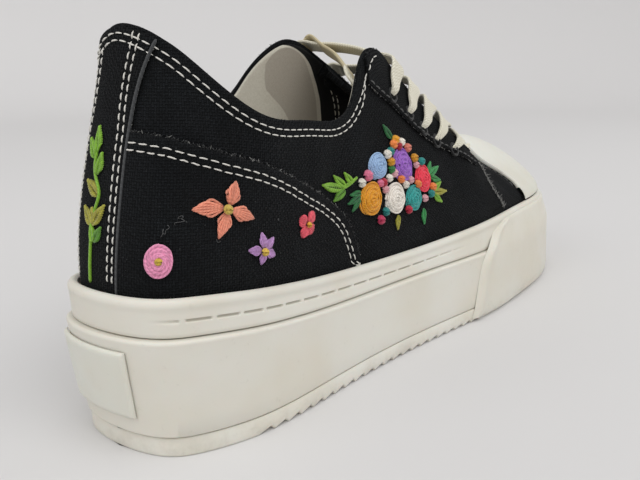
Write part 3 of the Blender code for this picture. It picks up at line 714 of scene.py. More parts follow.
def tubes(name, paths, radii, look, tints=None, sides=6, ends=0.45):
    """Many fine tubes joined in one mesh, each with its own tint. Their UV map runs along and round each."""
    radii = np.broadcast_to(np.asarray(radii, float), (len(paths),))
    tints = np.broadcast_to(np.asarray(tints if tints is not None else (1, 1, 1), float), (len(paths), 3))
    by_count = {}
    for index, path in enumerate(paths):
        by_count.setdefault(len(path), []).append(index)
    verts, faces, uvs, colours = [], [], [], []
    base = 0
    turn = np.arange(sides) / sides * 2 * np.pi
    for count, members in by_count.items():
        lines = np.array([paths[k] for k in members], float)
        tangent = np.gradient(lines, axis=1)
        tangent /= np.linalg.norm(tangent, axis=2, keepdims=True) + 1e-12
        steep = np.abs(tangent[:, :, 2]).mean(axis=1) > 0.75
        aim = np.where(steep[:, None], (1.0, 0.0, 0.0), (0.0, 0.0, 1.0))[:, None, :]
        first = np.cross(tangent, np.broadcast_to(aim, tangent.shape))
        first /= np.linalg.norm(first, axis=2, keepdims=True) + 1e-12
        second = np.cross(tangent, first)
        taper = np.ones(count)
        taper[[0, -1]] = ends
        size = radii[members][:, None] * taper[None, :]
        spokes = (np.cos(turn)[None, None, :, None] * first[:, :, None, :]
                  + np.sin(turn)[None, None, :, None] * second[:, :, None, :])
        rings = lines[:, :, None, :] + spokes * size[:, :, None, None]
        far = lengths_along(lines, 1) * MM
        verts.append(rings.reshape(-1, 3))
        colours.append(np.repeat(tints[members], count * sides, axis=0))
        for k in range(len(members)):
            start = base + k * count * sides
            for i in range(count - 1):
                for j in range(sides):
                    after = (j + 1) % sides
                    low = start + i * sides
                    high = low + sides
                    faces.append((low + j, low + after, high + after, high + j))
                    near, next_ = far[k, i], far[k, i + 1]
                    a, b = j / sides, (j + 1) / sides
                    uvs += [(near, a), (near, b), (next_, b), (next_, a)]
            faces.append(tuple(range(start + sides - 1, start - 1, -1)))
            last = start + (count - 1) * sides
            faces.append(tuple(range(last, last + sides)))
            uvs += [(0.0, 0.0)] * (2 * sides)
        base += len(members) * count * sides
    mesh = bpy.data.meshes.new(name)
    mesh.from_pydata(to_frame(np.vstack(verts)).tolist(), [], faces)
    layer = mesh.uv_layers.new(name="UVMap")
    layer.data.foreach_set("uv", np.array(uvs, np.float32).ravel())
    tint = mesh.attributes.new("tint", "FLOAT_COLOR", "POINT")
    shade = np.column_stack([np.vstack(colours), np.ones(base)])
    tint.data.foreach_set("color", shade.astype(np.float32).ravel())
    mesh.materials.append(look)
    mesh.shade_smooth()
    piece = bpy.data.objects.new(name, mesh)
    bpy.context.scene.collection.objects.link(piece)
    return piece


def turned(along, across, turn):
    """Two columns of a flat drawing, turned by an angle."""
    return [along * np.cos(turn) - across * np.sin(turn), along * np.sin(turn) + across * np.cos(turn)]


def settle(piece, slot, *nodes):
    """The piece rides with the shoe and stands for the nodes that it dresses. slot is not used."""
    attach(piece, BODY)
    if nodes:
        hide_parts(*nodes)
    return piece


def resample(path, count):
    """Points at even distances along a line."""
    far = lengths_along(path)
    return read_along(path, far, np.linspace(0, far[-1], count))


def curve_through(points, count):
    """Smooth line through a few points."""
    far = lengths_along(points)
    return spline(far, points, np.linspace(0, far[-1], count))


# Materials

class Look:
    """A material in the making. add makes a node and sets or links its inputs."""

    def __init__(self, name, colour, roughness, **levels):
        self.material = bpy.data.materials.new(name)
        self.material.use_nodes = True
        self.tree = self.material.node_tree
        self.shader = self.tree.nodes["Principled BSDF"]
        self.put(self.shader, "Base Color", colour)
        self.put(self.shader, "Roughness", roughness)
        for key, value in levels.items():
            self.put(self.shader, key.replace("_", " "), value)

    def put(self, node, key, value):
        entry = node.inputs[key]
        if isinstance(value, bpy.types.NodeSocket):
            self.tree.links.new(value, entry)
        elif entry.type == "RGBA":
            entry.default_value = (*value[:3], 1.0)
        else:
            entry.default_value = value

    def add(self, kind, inputs, output=0, **settings):
        made = self.tree.nodes.new("ShaderNode" + kind)
        for key, value in settings.items():
            setattr(made, key, value)
        for key, value in inputs.items():
            self.put(made, key, value)
        return made.outputs[output]

    def math(self, operation, a, b=0.0, c=0.0):
        return self.add("Math", {0: a, 1: b, 2: c}, operation=operation)

    def blend(self, share, a, b):
        """Colour between two colours."""
        return self.add("Mix", {0: share, 6: a, 7: b}, output=2, data_type="RGBA")

    def between(self, value, low, high):
        """0 below low, 1 above high, soft between them."""
        return self.add("MapRange", {"Value": value, "From Min": low, "From Max": high},
                        interpolation_type="SMOOTHSTEP")

    def noise(self, vector, scale, detail=3.0, rough=0.55):
        return self.add("TexNoise", {"Vector": vector, "Scale": scale, "Detail": detail, "Roughness": rough})

    def mark(self, key):
        return self.add("Attribute", {}, output=2, attribute_name=key)

    def place(self):
        return self.add("TexCoord", {}, output=3)

    def cloth(self):
        return self.add("TexCoord", {}, output=2)

    def bump(self, height, strength, distance, under=None):
        inputs = {"Height": height, "Strength": strength, "Distance": distance}
        if under is not None:
            inputs["Normal"] = under
        return self.add("Bump", inputs)

    def weave(self, pitch, wobble):
        """Height of a plain weave and a tone for each crossing of its yarns."""
        flat = self.cloth()
        stray = self.add("TexNoise", {"Vector": flat, "Scale": 260.0, "Detail": 2.0}, output=1)
        shift = self.add("VectorMath", {0: stray, 1: (0.5, 0.5, 0.5)}, operation="SUBTRACT")
        shift = self.add("VectorMath", {0: shift, "Scale": wobble}, operation="SCALE")
        moved = self.add("VectorMath", {0: flat, 1: shift}, operation="ADD")
        cells = self.add("VectorMath", {0: moved, "Scale": 1 / pitch}, operation="SCALE")
        parts = self.tree.nodes.new("ShaderNodeSeparateXYZ")
        self.put(parts, "Vector", cells)
        warp = self.math("PINGPONG", parts.outputs[0], 0.5)
        weft = self.math("PINGPONG", parts.outputs[1], 0.5)
        over = self.add("TexChecker", {"Vector": cells, "Scale": 1.0}, output=1)
        height = self.add("Mix", {0: over, 2: self.math("MULTIPLY", warp, 2.0),
                                  3: self.math("MULTIPLY", weft, 2.0)}, data_type="FLOAT")
        crossing = self.add("VectorMath", {0: cells}, operation="FLOOR")
        tone = self.add("TexWhiteNoise", {"Vector": crossing}, noise_dimensions="2D")
        return height, tone


def canvas_look(name, colours, pitch):
    """Coarse black canvas with painted shade between its yarns and a painted highlight on their tops, with a
    little lint.
    """
    look = Look(name, (0, 0, 0), 0.95, Specular_IOR_Level=0.12, Sheen_Weight=0.02, Sheen_Roughness=0.5)
    height, tone = look.weave(pitch, 0.00022)
    patch = look.noise(look.place(), 55.0, 4.0)
    # the weave's height mixes painted shade between the yarns with a painted highlight on their tops
    share = look.math("MULTIPLY", height, look.math("MULTIPLY_ADD", tone, 0.55, 0.45))
    share = look.math("MULTIPLY", share, look.math("MULTIPLY_ADD", patch, 1.3, 0.05))
    colour = look.blend(share, colours.canvas_dark, colours.canvas_yarn_highlight)
    fleck = look.noise(look.place(), 900.0, 2.0, 0.6)
    lint = look.math("MULTIPLY", look.between(fleck, 0.72, 0.80), 0.55)
    colour = look.blend(lint, colour, colours.lint)
    look.put(look.shader, "Base Color", colour)
    look.put(look.shader, "Normal", look.bump(height, 0.8, 0.0004))
    return look.material


def lining_look(name, colour, shade, pitch, facing=None, patch=None):
    """Soft cotton lining. The lining of the quarters has a black facing and a greyer patch."""
    look = Look(name, colour, 0.95, Specular_IOR_Level=0.2, Sheen_Weight=0.1)
    height, tone = look.weave(pitch, 0.00016)
    cloud = look.noise(look.place(), 40.0, 4.0)
    share = look.math("MULTIPLY_ADD", tone, 0.25, look.math("MULTIPLY", cloud, 0.6))
    mixed = look.blend(share, shade, colour)
    if facing is not None:
        # the patch is a separate piece of lining; its greyer colour is partly painted shade
        soft = look.blend(look.math("MULTIPLY", tone, 0.3), patch, shade)
        mixed = look.blend(look.between(look.mark("patch"), -0.15, 0.25), mixed, soft)
        mixed = look.blend(look.between(look.mark("facing"), -0.15, 0.15), mixed, facing)
    look.put(look.shader, "Base Color", mixed)
    look.put(look.shader, "Normal", look.bump(height, 0.35, 0.0002))
    return look.material


def rubber_look(name, colour, warm, grime):
    """Moulded off-white rubber, a little mottled, with painted shade in its grooves, seams and corners, and
    scuffed near the floor.
    """
    look = Look(name, colour, 0.5, Specular_IOR_Level=0.4, Subsurface_Weight=0.06, Subsurface_Scale=0.003)
    at = look.place()
    broad = look.noise(at, 22.0, 3.0)
    fine = look.noise(at, 420.0, 3.0, 0.6)
    mixed = look.blend(look.between(broad, 0.35, 0.72), colour, warm)
    speck = look.math("MULTIPLY", look.between(fine, 0.62, 0.8), 0.12)
    mixed = look.blend(speck, mixed, grime)
    height = look.tree.nodes.new("ShaderNodeSeparateXYZ")
    look.put(height, "Vector", at)
    low = look.math("SUBTRACT", 1.0, look.between(height.outputs[2], 0.0, 0.009))
    scuff = look.math("MULTIPLY", low, look.between(look.noise(at, 70.0, 5.0, 0.7), 0.42, 0.7))
    # the attribute is painted shade in grooves, seams and under the ledge; the scuffs near the floor are
    # dirt
    dirt_and_shade = look.math("MAXIMUM", look.math("MULTIPLY", scuff, 0.28), look.mark("grime"))
    mixed = look.blend(dirt_and_shade, mixed, grime)
    look.put(look.shader, "Base Color", mixed)
    rough = look.math("MULTIPLY_ADD", fine, 0.25, 0.36)
    look.put(look.shader, "Roughness", rough)
    grain = look.bump(fine, 0.10, 0.0002)
    look.put(look.shader, "Normal", look.bump(broad, 0.06, 0.003, grain))
    return look.material


def lace_look(name, colour, shade, worn):
    """Flat woven cotton lace with slanting yarns and a raised selvedge, with painted shade between its yarns
    and a tan painted shade on its slack pass.
    """
    look = Look(name, colour, 0.9, Specular_IOR_Level=0.25, Sheen_Weight=0.15)
    parts = look.tree.nodes.new("ShaderNodeSeparateXYZ")
    look.put(parts, "Vector", look.cloth())
    along = look.math("DIVIDE", parts.outputs[0], 0.0011)
    side = look.math("DIVIDE", parts.outputs[1], 0.0011)
    zigzag = look.math("PINGPONG", side, 1.0)
    yarn = look.math("PINGPONG", look.math("ADD", along, zigzag), 0.5)
    yarn = look.math("MULTIPLY", yarn, 2.0)
    patch = look.noise(look.place(), 120.0, 4.0)
    share = look.math("MULTIPLY", yarn, look.math("MULTIPLY_ADD", patch, 0.8, 0.5))
    mixed = look.blend(share, shade, colour)
    # the slack pass is blended towards a tan colour: painted shade where its underside lies in shadow
    look.put(look.shader, "Base Color", look.blend(look.mark("worn"), mixed, worn))
    look.put(look.shader, "Normal", look.bump(yarn, 0.5, 0.0003))
    return look.material


def thread_look(name, gloss, twist):
    """Sewing and embroidery thread. Each stitch has its own tint, and its plies are slanting ridges with
    painted shade between them.
    """
    look = Look(name, (1, 1, 1), 0.75 - gloss, Specular_IOR_Level=0.35, Sheen_Weight=0.2)
    tint = look.add("Attribute", {}, output=0, attribute_name="tint")
    parts = look.tree.nodes.new("ShaderNodeSeparateXYZ")
    look.put(parts, "Vector", look.cloth())
    far = look.math("DIVIDE", parts.outputs[0], twist)
    ply = look.math("PINGPONG", look.math("ADD", far, look.math("MULTIPLY", parts.outputs[1], 2.0)), 0.5)
    ply = look.math("MULTIPLY", ply, 2.0)
    # the tint darkened between the plies is painted shade
    dark = look.add("Mix", {0: 1.0, 6: tint, 7: (0.76, 0.75, 0.75)}, output=2, data_type="RGBA",
                    blend_type="MULTIPLY")
    look.put(look.shader, "Base Color", look.blend(ply, dark, tint))
    look.put(look.shader, "Normal", look.bump(ply, 0.5, 0.0002))
    return look.material


def stage_look(name, colour):
    look = Look(name, colour, 0.85, Specular_IOR_Level=0.1)
    cloud = look.noise(look.place(), 1.4, 2.0)
    tone = look.blend(cloud, colour, [value * 1.03 for value in colour])
    look.put(look.shader, "Base Color", tone)
    return look.material


class SneakerColours(bpy.types.PropertyGroup):
    """Colours of the shoe's materials."""

    def tone(name, text, *rgb):
        return bpy.props.FloatVectorProperty(name=name, description=text, subtype="COLOR", size=3,
                                             min=0, max=1, default=paint(*rgb))

    rubber: tone("Rubber", "Moulded sole and toe cap", 224, 222, 213)
    rubber_warm: tone("Warm rubber", "Yellowed patches of the rubber", 218, 213, 199)
    # used for dust specks and scuffs, and as painted shade in grooves, seams and corners
    grime: tone("Grime", "Dust specks, scuffs and painted shade in the grooves of the sole", 150, 142, 124)
    canvas_dark: tone("Canvas shade", "Between the yarns of the canvas", 7, 8, 9)
    # painted highlight on the tops of the canvas yarns
    canvas_yarn_highlight: tone("Canvas yarn", "Painted highlight on the top of the canvas yarns", 34, 37, 40)
    lint: tone("Lint", "Specks of lint", 96, 98, 98)
    lining: tone("Lining", "Cotton lining of the quarters", 222, 218, 206)
    lining_shade: tone("Lining shade", "Between the yarns of the lining", 188, 182, 166)
    # the patch's own colour, darkened with painted shade
    patch: tone("Lining patch", "Greyer patch in the inner quarter", 172, 164, 152)
    lace: tone("Lace", "Cotton lace", 242, 239, 224)
    lace_shade: tone("Lace shade", "Between the yarns of the lace", 206, 200, 178)
    # painted shade: tan colour of the lace's slack pass, whose underside lies in shadow
    worn: tone("Slack lace shade", "Painted shade on the slack end of the lace", 190, 176, 138)
    seam: tone("Seam thread", "White sewing thread", 236, 234, 226)
    dark_seam: tone("Grey seam thread", "Dusty sewing thread on the front of the shoe", 96, 97, 96)
    floor: tone("Floor", "Studio floor", 216, 215, 215)


class SneakerSizes(bpy.types.PropertyGroup):
    """Sizes of the shoe's fine work."""

    def size(name, text, millimetres):
        return bpy.props.FloatProperty(name=name, description=text, unit="LENGTH", min=0.00001, max=0.1,
                                       precision=5, default=millimetres * MM)

    weave: size("Weave", "Distance between two yarns of the canvas", 0.8)
    lining_weave: size("Lining weave", "Distance between two yarns of the lining", 0.5)
    stitch_pitch: size("Stitch pitch", "From one stitch to the next", 3.2)
    stitch_length: size("Stitch length", "Length of one stitch", 2.55)
    stitch_width: size("Stitch width", "Width of one stitch", 0.44)
    row_gap: size("Row gap", "Between the two rows of a double seam", 1.9)
    thread: size("Thread", "Radius of an embroidery thread", 0.36)
    lace_width: size("Lace width", "Width of the flat lace", 7.4)
    lace_thick: size("Lace thickness", "Thickness of the flat lace", 1.3)
    groove_depth: size("Groove depth", "Depth of the dashed groove on the foxing", 0.7)
    groove_pitch: size("Groove pitch", "From one dash of the groove to the next", 8.6)
    fray: size("Fray", "Length of the loose yarn ends on raw edges", 1.1)


def sizes(key):
    """A size in millimetres."""
    return getattr(bpy.context.scene.sneaker_sizes, key) / MM


def colours():
    return bpy.context.scene.sneaker_colours


def cloth_looks():
    """Canvas and lining, made once and shared by the cloth pieces."""
    shades = colours()
    found = bpy.data.materials.get("canvas_weave")
    canvas = found or canvas_look("canvas_weave", shades, sizes("weave") * MM)
    found = bpy.data.materials.get("lining_weave")
    lining = found or lining_look("lining_weave", tuple(shades.lining), tuple(shades.lining_shade),
                                  sizes("lining_weave") * MM, tuple(shades.canvas_dark), tuple(shades.patch))
    return canvas, lining


def rubber_material():
    shades = colours()
    found = bpy.data.materials.get("moulded_rubber")
    return found or rubber_look("moulded_rubber", tuple(shades.rubber), tuple(shades.rubber_warm),
                                tuple(shades.grime))


def thread_material(name, gloss, twist):
    return bpy.data.materials.get(name) or thread_look(name, gloss, twist)


def seam_thread():
    return thread_material("sewing_thread", 0.1, 0.0016)


# Shapes of the panels

def height_where(place, reached):
    """Lowest height on the wall of the upper at which a test of its point comes true."""
    ups = np.linspace(PANEL_LOW, PANEL_HIGH, 193)
    points = upper_point(np.full(len(ups), place), ups)
    hits = np.flatnonzero(reached(points))
    return ups[hits[0]] if len(hits) else PANEL_HIGH


def strip_edge(up, side):
    """Place of the heel strip's edge. side is 1 on the outer and -1 on the inner side."""
    rows = [(row.middle, row.half) for row in HEEL_STRIP]
    middle, half = spline([row.up for row in HEEL_STRIP], rows, np.clip(up, 0, 1)).T
    return heel_place(middle + side * half)


def counter_grid(side, columns, rows):
    """Places and heights of a rear panel, from the heel strip to its curved front edge."""
    shares = np.linspace(0, 1, rows)
    reach = place_of(COUNTER_FRONT)
    places, ups = [], []
    for along in 1 - np.linspace(1, 0, columns) ** 1.3:
        place = side * strip_edge(0.6, side)[0] * (1 - along) + reach * along
        x = outline(place)[:, 0]
        edge = curve(COUNTER_EDGE, "x", "z", x)[0]
        top = height_where(side * place, lambda points: points[:, 2] > edge)
        up = PANEL_FOOT + (max(top, PANEL_LOW + 0.03) - PANEL_FOOT) * shares
        back = strip_edge(up, side) * side + heel_place(GAP)
        places.append(side * (back + (reach - back) * along))
        ups.append(up)
    return np.array(places)[::side], np.array(ups)[::side]


def stay_grid(inner, columns, rows):
    """Places and heights of a facing, from its seam up to the edge of the throat."""
    along = np.linspace(0, 1, columns)
    seam = [(place_of(row.x), row.up) for row in STAY_SEAM]
    low_place, low_up = spline(np.linspace(0, 1, len(seam)), seam, along).T
    high_place = place_of(STAY_START + (STAY_END - STAY_START) * along)
    shares = np.linspace(0, 1, rows)[None, :]
    places = low_place[:, None] + (high_place - low_place)[:, None] * shares
    ups = low_up[:, None] + (PANEL_HIGH - low_up)[:, None] * shares
    if inner:
        return 1 - places[::-1], ups[::-1]
    return places, ups


def cap_grid(columns, rows):
    """Places and heights of the toe cap, back to its rear edge."""
    start = place_of(CAP_SIDE_X)
    places = np.linspace(start, 1 - start, columns)
    tops = [height_where(place, lambda points: points[:, 0] < CAP_EDGE_X) for place in places]
    tops = np.convolve(np.pad(tops, 3, mode="edge"), np.ones(7) / 7, mode="valid")
    shares = np.linspace(0, 1, rows)[None, :]
    ups = PANEL_LOW + (tops - PANEL_LOW)[:, None] * shares
    return np.repeat(places[:, None], rows, axis=1), ups


def quarter_grid(inner, columns, rows):
    """Places and heights of the quarter's front end, a band behind its raw front edge."""
    levels = np.linspace(QUARTER_FRONT[0].up, QUARTER_FRONT[-1].up, rows)
    front = curve(QUARTER_FRONT, "up", "place", levels)
    back = front - QUARTER_BAND
    shares = np.linspace(0, 1, columns)[:, None]
    places = back[None, :] + (front - back)[None, :] * shares
    ups = np.repeat(levels[None, :], columns, axis=0)
    if inner:
        return 1 - places[::-1], ups[::-1]
    return places, ups


def tongue_rows(columns, sides, bridge, under):
    """Points of the tongue from its foot to its slanting top: under both facings and across the throat."""
    ups = np.linspace(0.84, 1.0, sides)
    rows = []
    for share in np.linspace(0, 1, columns):
        edges = []
        for top, inner in ((TONGUE_TOP_OUTER, False), (TONGUE_TOP_INNER, True)):
            places = np.full(sides, place_of(top + (TONGUE_FOOT - top) * share, inner))
            edges.append(upper_point(places, ups) - upper_normal(places, ups) * under)
        outer, inner = edges
        reach = np.linalg.norm(inner[-1] - outer[-1]) * TONGUE_CROWN
        lead = (outer[-1] - outer[-2]) / np.linalg.norm(outer[-1] - outer[-2]) * reach
        trail = (inner[-2] - inner[-1]) / np.linalg.norm(inner[-2] - inner[-1]) * reach
        t = np.linspace(0, 1, bridge)[1:-1, None]
        span = ((2 * t ** 3 - 3 * t ** 2 + 1) * outer[-1] + (t ** 3 - 2 * t ** 2 + t) * lead
                + (3 * t ** 2 - 2 * t ** 3) * inner[-1] + (t ** 3 - t ** 2) * trail)
        span[:, 2] -= TONGUE_SAG * (1 - share) ** 2 * np.sin(np.pi * t[:, 0])
        rows.append(np.vstack([outer, span, inner[::-1]]))
    return np.array(rows)


# Operators, one for each group of pieces

class SNEAKER_OT_sole(bpy.types.Operator):
    """Tread, platform, foxing with its dashed groove, toe bumper and heel plate"""
    bl_idname = "sneaker.sole"
    bl_label = "Sole"

    def execute(self, context):
        look = rubber_material()
        self.tread(look)
        self.platform(look)
        self.foxing(look)
        self.bumper(look)
        self.plate(look)
        return {"FINISHED"}

    def tread(self, look):
        tips = np.linspace(RIB_START, RIB_END, RIB_COUNT + 1)
        tops = tips[:-1] + np.diff(tips) * RIB_RISE_SHARE
        ribs = place_of(np.sort(np.concatenate([tips, tops])))
        side = np.concatenate([np.linspace(0, ribs[0], 40)[:-1], ribs, np.linspace(ribs[-1], 0.5, 70)[1:]])
        places = np.concatenate([side, 1 - side[-2::-1]])
        x = outline(places)[:, 0]
        near = np.minimum(places, 1 - places)
        notch = np.isin(np.round(near, 9), np.round(place_of(tops), 9))
        low = np.where(notch, RIB_DEPTH, 0.0) + spring(x)
        high = TREAD_TOP + spring(x)
        levels = [spine(places, low), ring(places, 0.5 + 0 * x, low), ring(places, 0.1 + 0 * x, low + 0.35),
                  ring(places, 0 * x, low + 0.8), ring(places, 0 * x, high - 0.5),
                  ring(places, 0.4 + 0 * x, high), spine(places, high)]
        grime = np.zeros((len(places), len(levels)))
        # painted shade along the seam at the top of the tread
        grime[:, 5:] = 0.12
        piece = lay_grid("tread", np.stack(levels, axis=1), [look], {"grime": grime})
        settle(piece, "sole_rubber", "outsole")

    def platform(self, look):
        places = np.linspace(0, 1, 481)
        x = outline(places)[:, 0]
        low = TREAD_TOP + 0.05 + spring(x)
        top = ledge(x)
        lean = ledge_inset(x)
        levels = [spine(places, low), ring(places, 0.8 + 0 * x, low),
                  ring(places, 0.25 + lean * 0.1, low + 0.4), ring(places, lean * 0.2, low + 1.0)]
        for share in (0.2, 0.4, 0.6, 0.8, 0.94):
            levels.append(ring(places, lean * (0.2 + 0.8 * share), low + 1 + (top - 2.4 - low) * share))
        rounding = ((-1.2, -0.05), (-0.75, -0.1), (-0.35, 0.1), (-0.1, 0.45), (0.0, 0.9), (0.0, 4.0))
        for drop, inset in rounding:
            levels.append(ring(places, lean + inset, top + drop))
        levels.append(spine(places, top))
        grime = np.zeros((len(places), len(levels)))
        # painted shade along the foot of the platform and under the ledge
        grime[:, 1:2] = 0.12
        grime[:, -3:] = 0.15
        piece = lay_grid("platform", np.stack(levels, axis=1), [look], {"grime": grime})
        settle(piece, "sole_rubber", "midsole")

    def foxing(self, look):
        places = np.linspace(0, 1, 1401)
        x = outline(places)[:, 0]
        low = ledge(x) + GAP
        top = band_top(x)
        foot = ledge_inset(x) + BAND_STEP
        edge = canvas_inset(x)
        pitch = sizes("groove_pitch")
        far = (arc(np.where(places > 0.5, 1 - places, places)) + pitch * 0.3) % pitch
        dash = smooth(0, 0.7, far) * (1 - smooth(pitch * 0.88 - 0.7, pitch * 0.88, far))
        dash = dash * (1 - smooth(105, 150, x)) * smooth(2, 9, x)
        profile = [(low, edge), (low, foot + 0.6), (low + 0.15, foot + 0.15), (low + 0.5, foot)]
        # painted shade in the corner at the foot of the band and in the dashed groove
        marks = [0.1, 0.2, 0.2, 0.1]
        cuts = (0.12, 0.28, 0.42, 0.50, 0.53, 0.55, 0.575, 0.60, 0.625, 0.645, 0.67, 0.72, 0.85, 1.0)
        for share in cuts:
            depth = max(0.0, 1 - ((share - 0.5875) / 0.0625) ** 2) ** 0.5 * sizes("groove_depth")
            height = low + 0.5 + (top - 3.2 - low - 0.5) * share
            inset = foot + (edge - LIP - foot) * share + depth * dash
            profile.append((height, inset))
            marks.append(0.5 * (depth > 0.3))
        rounding = ((2.6, -0.18), (1.9, -0.2), (1.2, 0.0), (0.65, 0.4), (0.3, 0.95), (0.2, 1.5), (0.4, 2.1),
                    (0.9, 2.6))
        for drop, inset in rounding:
            profile.append((top - drop, edge - LIP + inset))
            marks.append(0.0)
        profile.append(profile[0])
        marks.append(0.2)
        points = np.stack([ring(places, inset, height) for height, inset in profile], axis=1)
        marks = np.array(marks)[None, :]
        grime = marks * np.where(marks == 0.5, dash[:, None], 1.0)
        piece = lay_grid("foxing_band", points, [look], {"grime": grime})
        settle(piece, "sole_rubber", "foxing")

    def bumper(self, look):
        """Wrap round the toe, with a soft ridge along its slanted edges."""
        along = np.linspace(0, 1, 241)
        rows = []
        inner_rows = []
        proud = BUMPER_PROUD + GAP

        def level(share, height, inset, out, inner):
            start = place_of(curve(BUMPER_EDGE, "share", "x", share)[0])
            places = start + (1 - 2 * start) * along
            x = outline(places)[:, 0]
            far = arc(places)
            edge = np.minimum(far - far[0], far[-1] - far)
            swell = 1 + 0.35 * np.exp(-((edge - 3.5) / 2.2) ** 2)
            lift = round_edge(edge + 0.02, 3.0) * swell
            rows.append(ring(places, inset(x) - GAP * 0.6 - (out - GAP * 0.6) * lift, height(x)))
            inner_rows.append(ring(places, inset(x) - GAP * 0.5 + inner, height(x)))

        def lip(x):
            return canvas_inset(x) - LIP

        def upright(x):
            return 0 * x

        level(0.0, lambda x: BUMPER_LOW + spring(x), upright, proud * 0.3, 0)
        level(0.03, lambda x: BUMPER_LOW + 0.35 + spring(x), upright, proud * 0.7, 0)
        level(0.07, lambda x: BUMPER_LOW + 1.2 + spring(x), upright, proud * 0.9, 0)
        level(0.16, lambda x: TREAD_TOP + spring(x), upright, proud, 0)
        level(0.3, lambda x: TREAD_TOP + 6 + spring(x), lambda x: ledge_inset(x) * 0.4, proud, 0)
        level(0.46, lambda x: ledge(x) - 9, lambda x: ledge_inset(x) * 0.8, proud, 0)
        level(0.62, lambda x: ledge(x) - 4, ledge_inset, proud, 0)
        level(0.72, lambda x: ledge(x) - 0.6, ledge_inset, proud * 0.9, 0)
        level(0.8, lambda x: ledge(x) + 1.8, lambda x: ledge_inset(x) + 0.8, proud, 0.2)
        level(0.87, lambda x: band_top(x) - 6, lambda x: lip(x) * 0.75 + 0.4, proud, 0.2)
        level(0.92, lambda x: band_top(x) - 4.2, lip, proud, 0)
        level(0.96, lambda x: band_top(x) - 3.0, lip, proud * 0.85, 0)
        level(0.99, lambda x: band_top(x) - 2.2, lip, proud * 0.5, 0)
        level(1.0, lambda x: band_top(x) - 2.0, lip, proud * 0.2, 0)
        for outer, inner in zip(rows, inner_rows):
            outer[[0, -1]] = inner[[0, -1]]
        points = np.stack(rows + inner_rows[::-1] + rows[:1], axis=1)
        settle(lay_grid("toe_bumper_wrap", points, [look]), "sole_rubber", "toe_bumper")

    def plate(self, look):
        """Bare raised plate on the back of the heel, with rounded edges."""
        ends = np.array([0.955, 0.98, 0.995, 1])
        across = np.concatenate([-ends[::-1], np.linspace(-0.92, 0.92, 25), ends])
        share = np.concatenate([[0, 0.006, 0.022, 0.05], np.linspace(0.1, 0.9, 9), [0.95, 0.978, 0.994, 1]])
        places = heel_place(PLATE_CENTRE + PLATE_HALF * across)
        x = outline(places)[:, 0]
        foot = TREAD_TOP + GAP + 1.0
        head = ledge(x) - 1.4
        rows = []
        for part in share:
            height = PLATE_LOW + (ledge(x) - PLATE_UNDER_LEDGE - PLATE_LOW) * part
            inset = ledge_inset(x) * (0.2 + 0.8 * (height - foot) / (head - foot))
            tall = ledge(x) - PLATE_UNDER_LEDGE - PLATE_LOW
            edge = np.minimum((1 - np.abs(across)) * PLATE_HALF, np.minimum(part, 1 - part) * tall)
            rows.append(ring(places, inset - GAP - PLATE_PROUD * round_edge(edge, 1.1), height))
        piece = lay_grid("heel_plate_bare", np.stack(rows, axis=1), [look])
        settle(thicken(piece, 0.25), "sole_rubber", "heel_plate")


class SNEAKER_OT_upper(bpy.types.Operator):
    """Hollow canvas upper with its lining and its main creases"""
    bl_idname = "sneaker.upper"
    bl_label = "Upper"

    def execute(self, context):
        canvas, lining = cloth_looks()
        places = np.linspace(0, 1, 421)
        ups = np.concatenate([[-1.0, -0.5], np.linspace(0, 1, 49)])
        grid_place, grid_up = np.meshgrid(places, ups, indexing="ij")
        points = on_wall(grid_place, grid_up)
        points[-1] = points[0]
        piece = lay_grid("canvas_upper", points, [canvas])
        settle(thicken(piece, CANVAS_WALL), "black_canvas", "upper")
        ups = np.concatenate([[-1.0, -0.5], np.linspace(0, LINING_TOP, 49)])
        grid_place, grid_up = np.meshgrid(places, ups, indexing="ij")
        points = on_wall(grid_place, grid_up, -CANVAS_WALL - 0.04)
        points[-1] = points[0]
        facing, patch = self.regions(grid_place, grid_up)
        piece = lay_grid("upper_lining", points, [lining], {"facing": facing, "patch": patch})
        settle(thicken(piece, WALL - CANVAS_WALL - 0.04), "lining_cloth")
        return {"FINISHED"}

    def regions(self, place, up):
        """Millimetres inside the black facing and inside the grey patch, negative outside them."""
        def edge(rows):
            return np.interp(up, [row.up for row in rows], [row.place for row in rows])

        mirrored = np.maximum(place, 1 - place)
        from_front = (mirrored - edge(LINING_FRONT)) * ROUND_MM
        facing = np.minimum(-from_front, (up - 0.42) * UP_MM)
        patch = np.minimum((edge(LINING_PATCH) - place) * ROUND_MM, from_front - 2.6)
        return facing, np.where(place > 0.5, patch, -1.0)


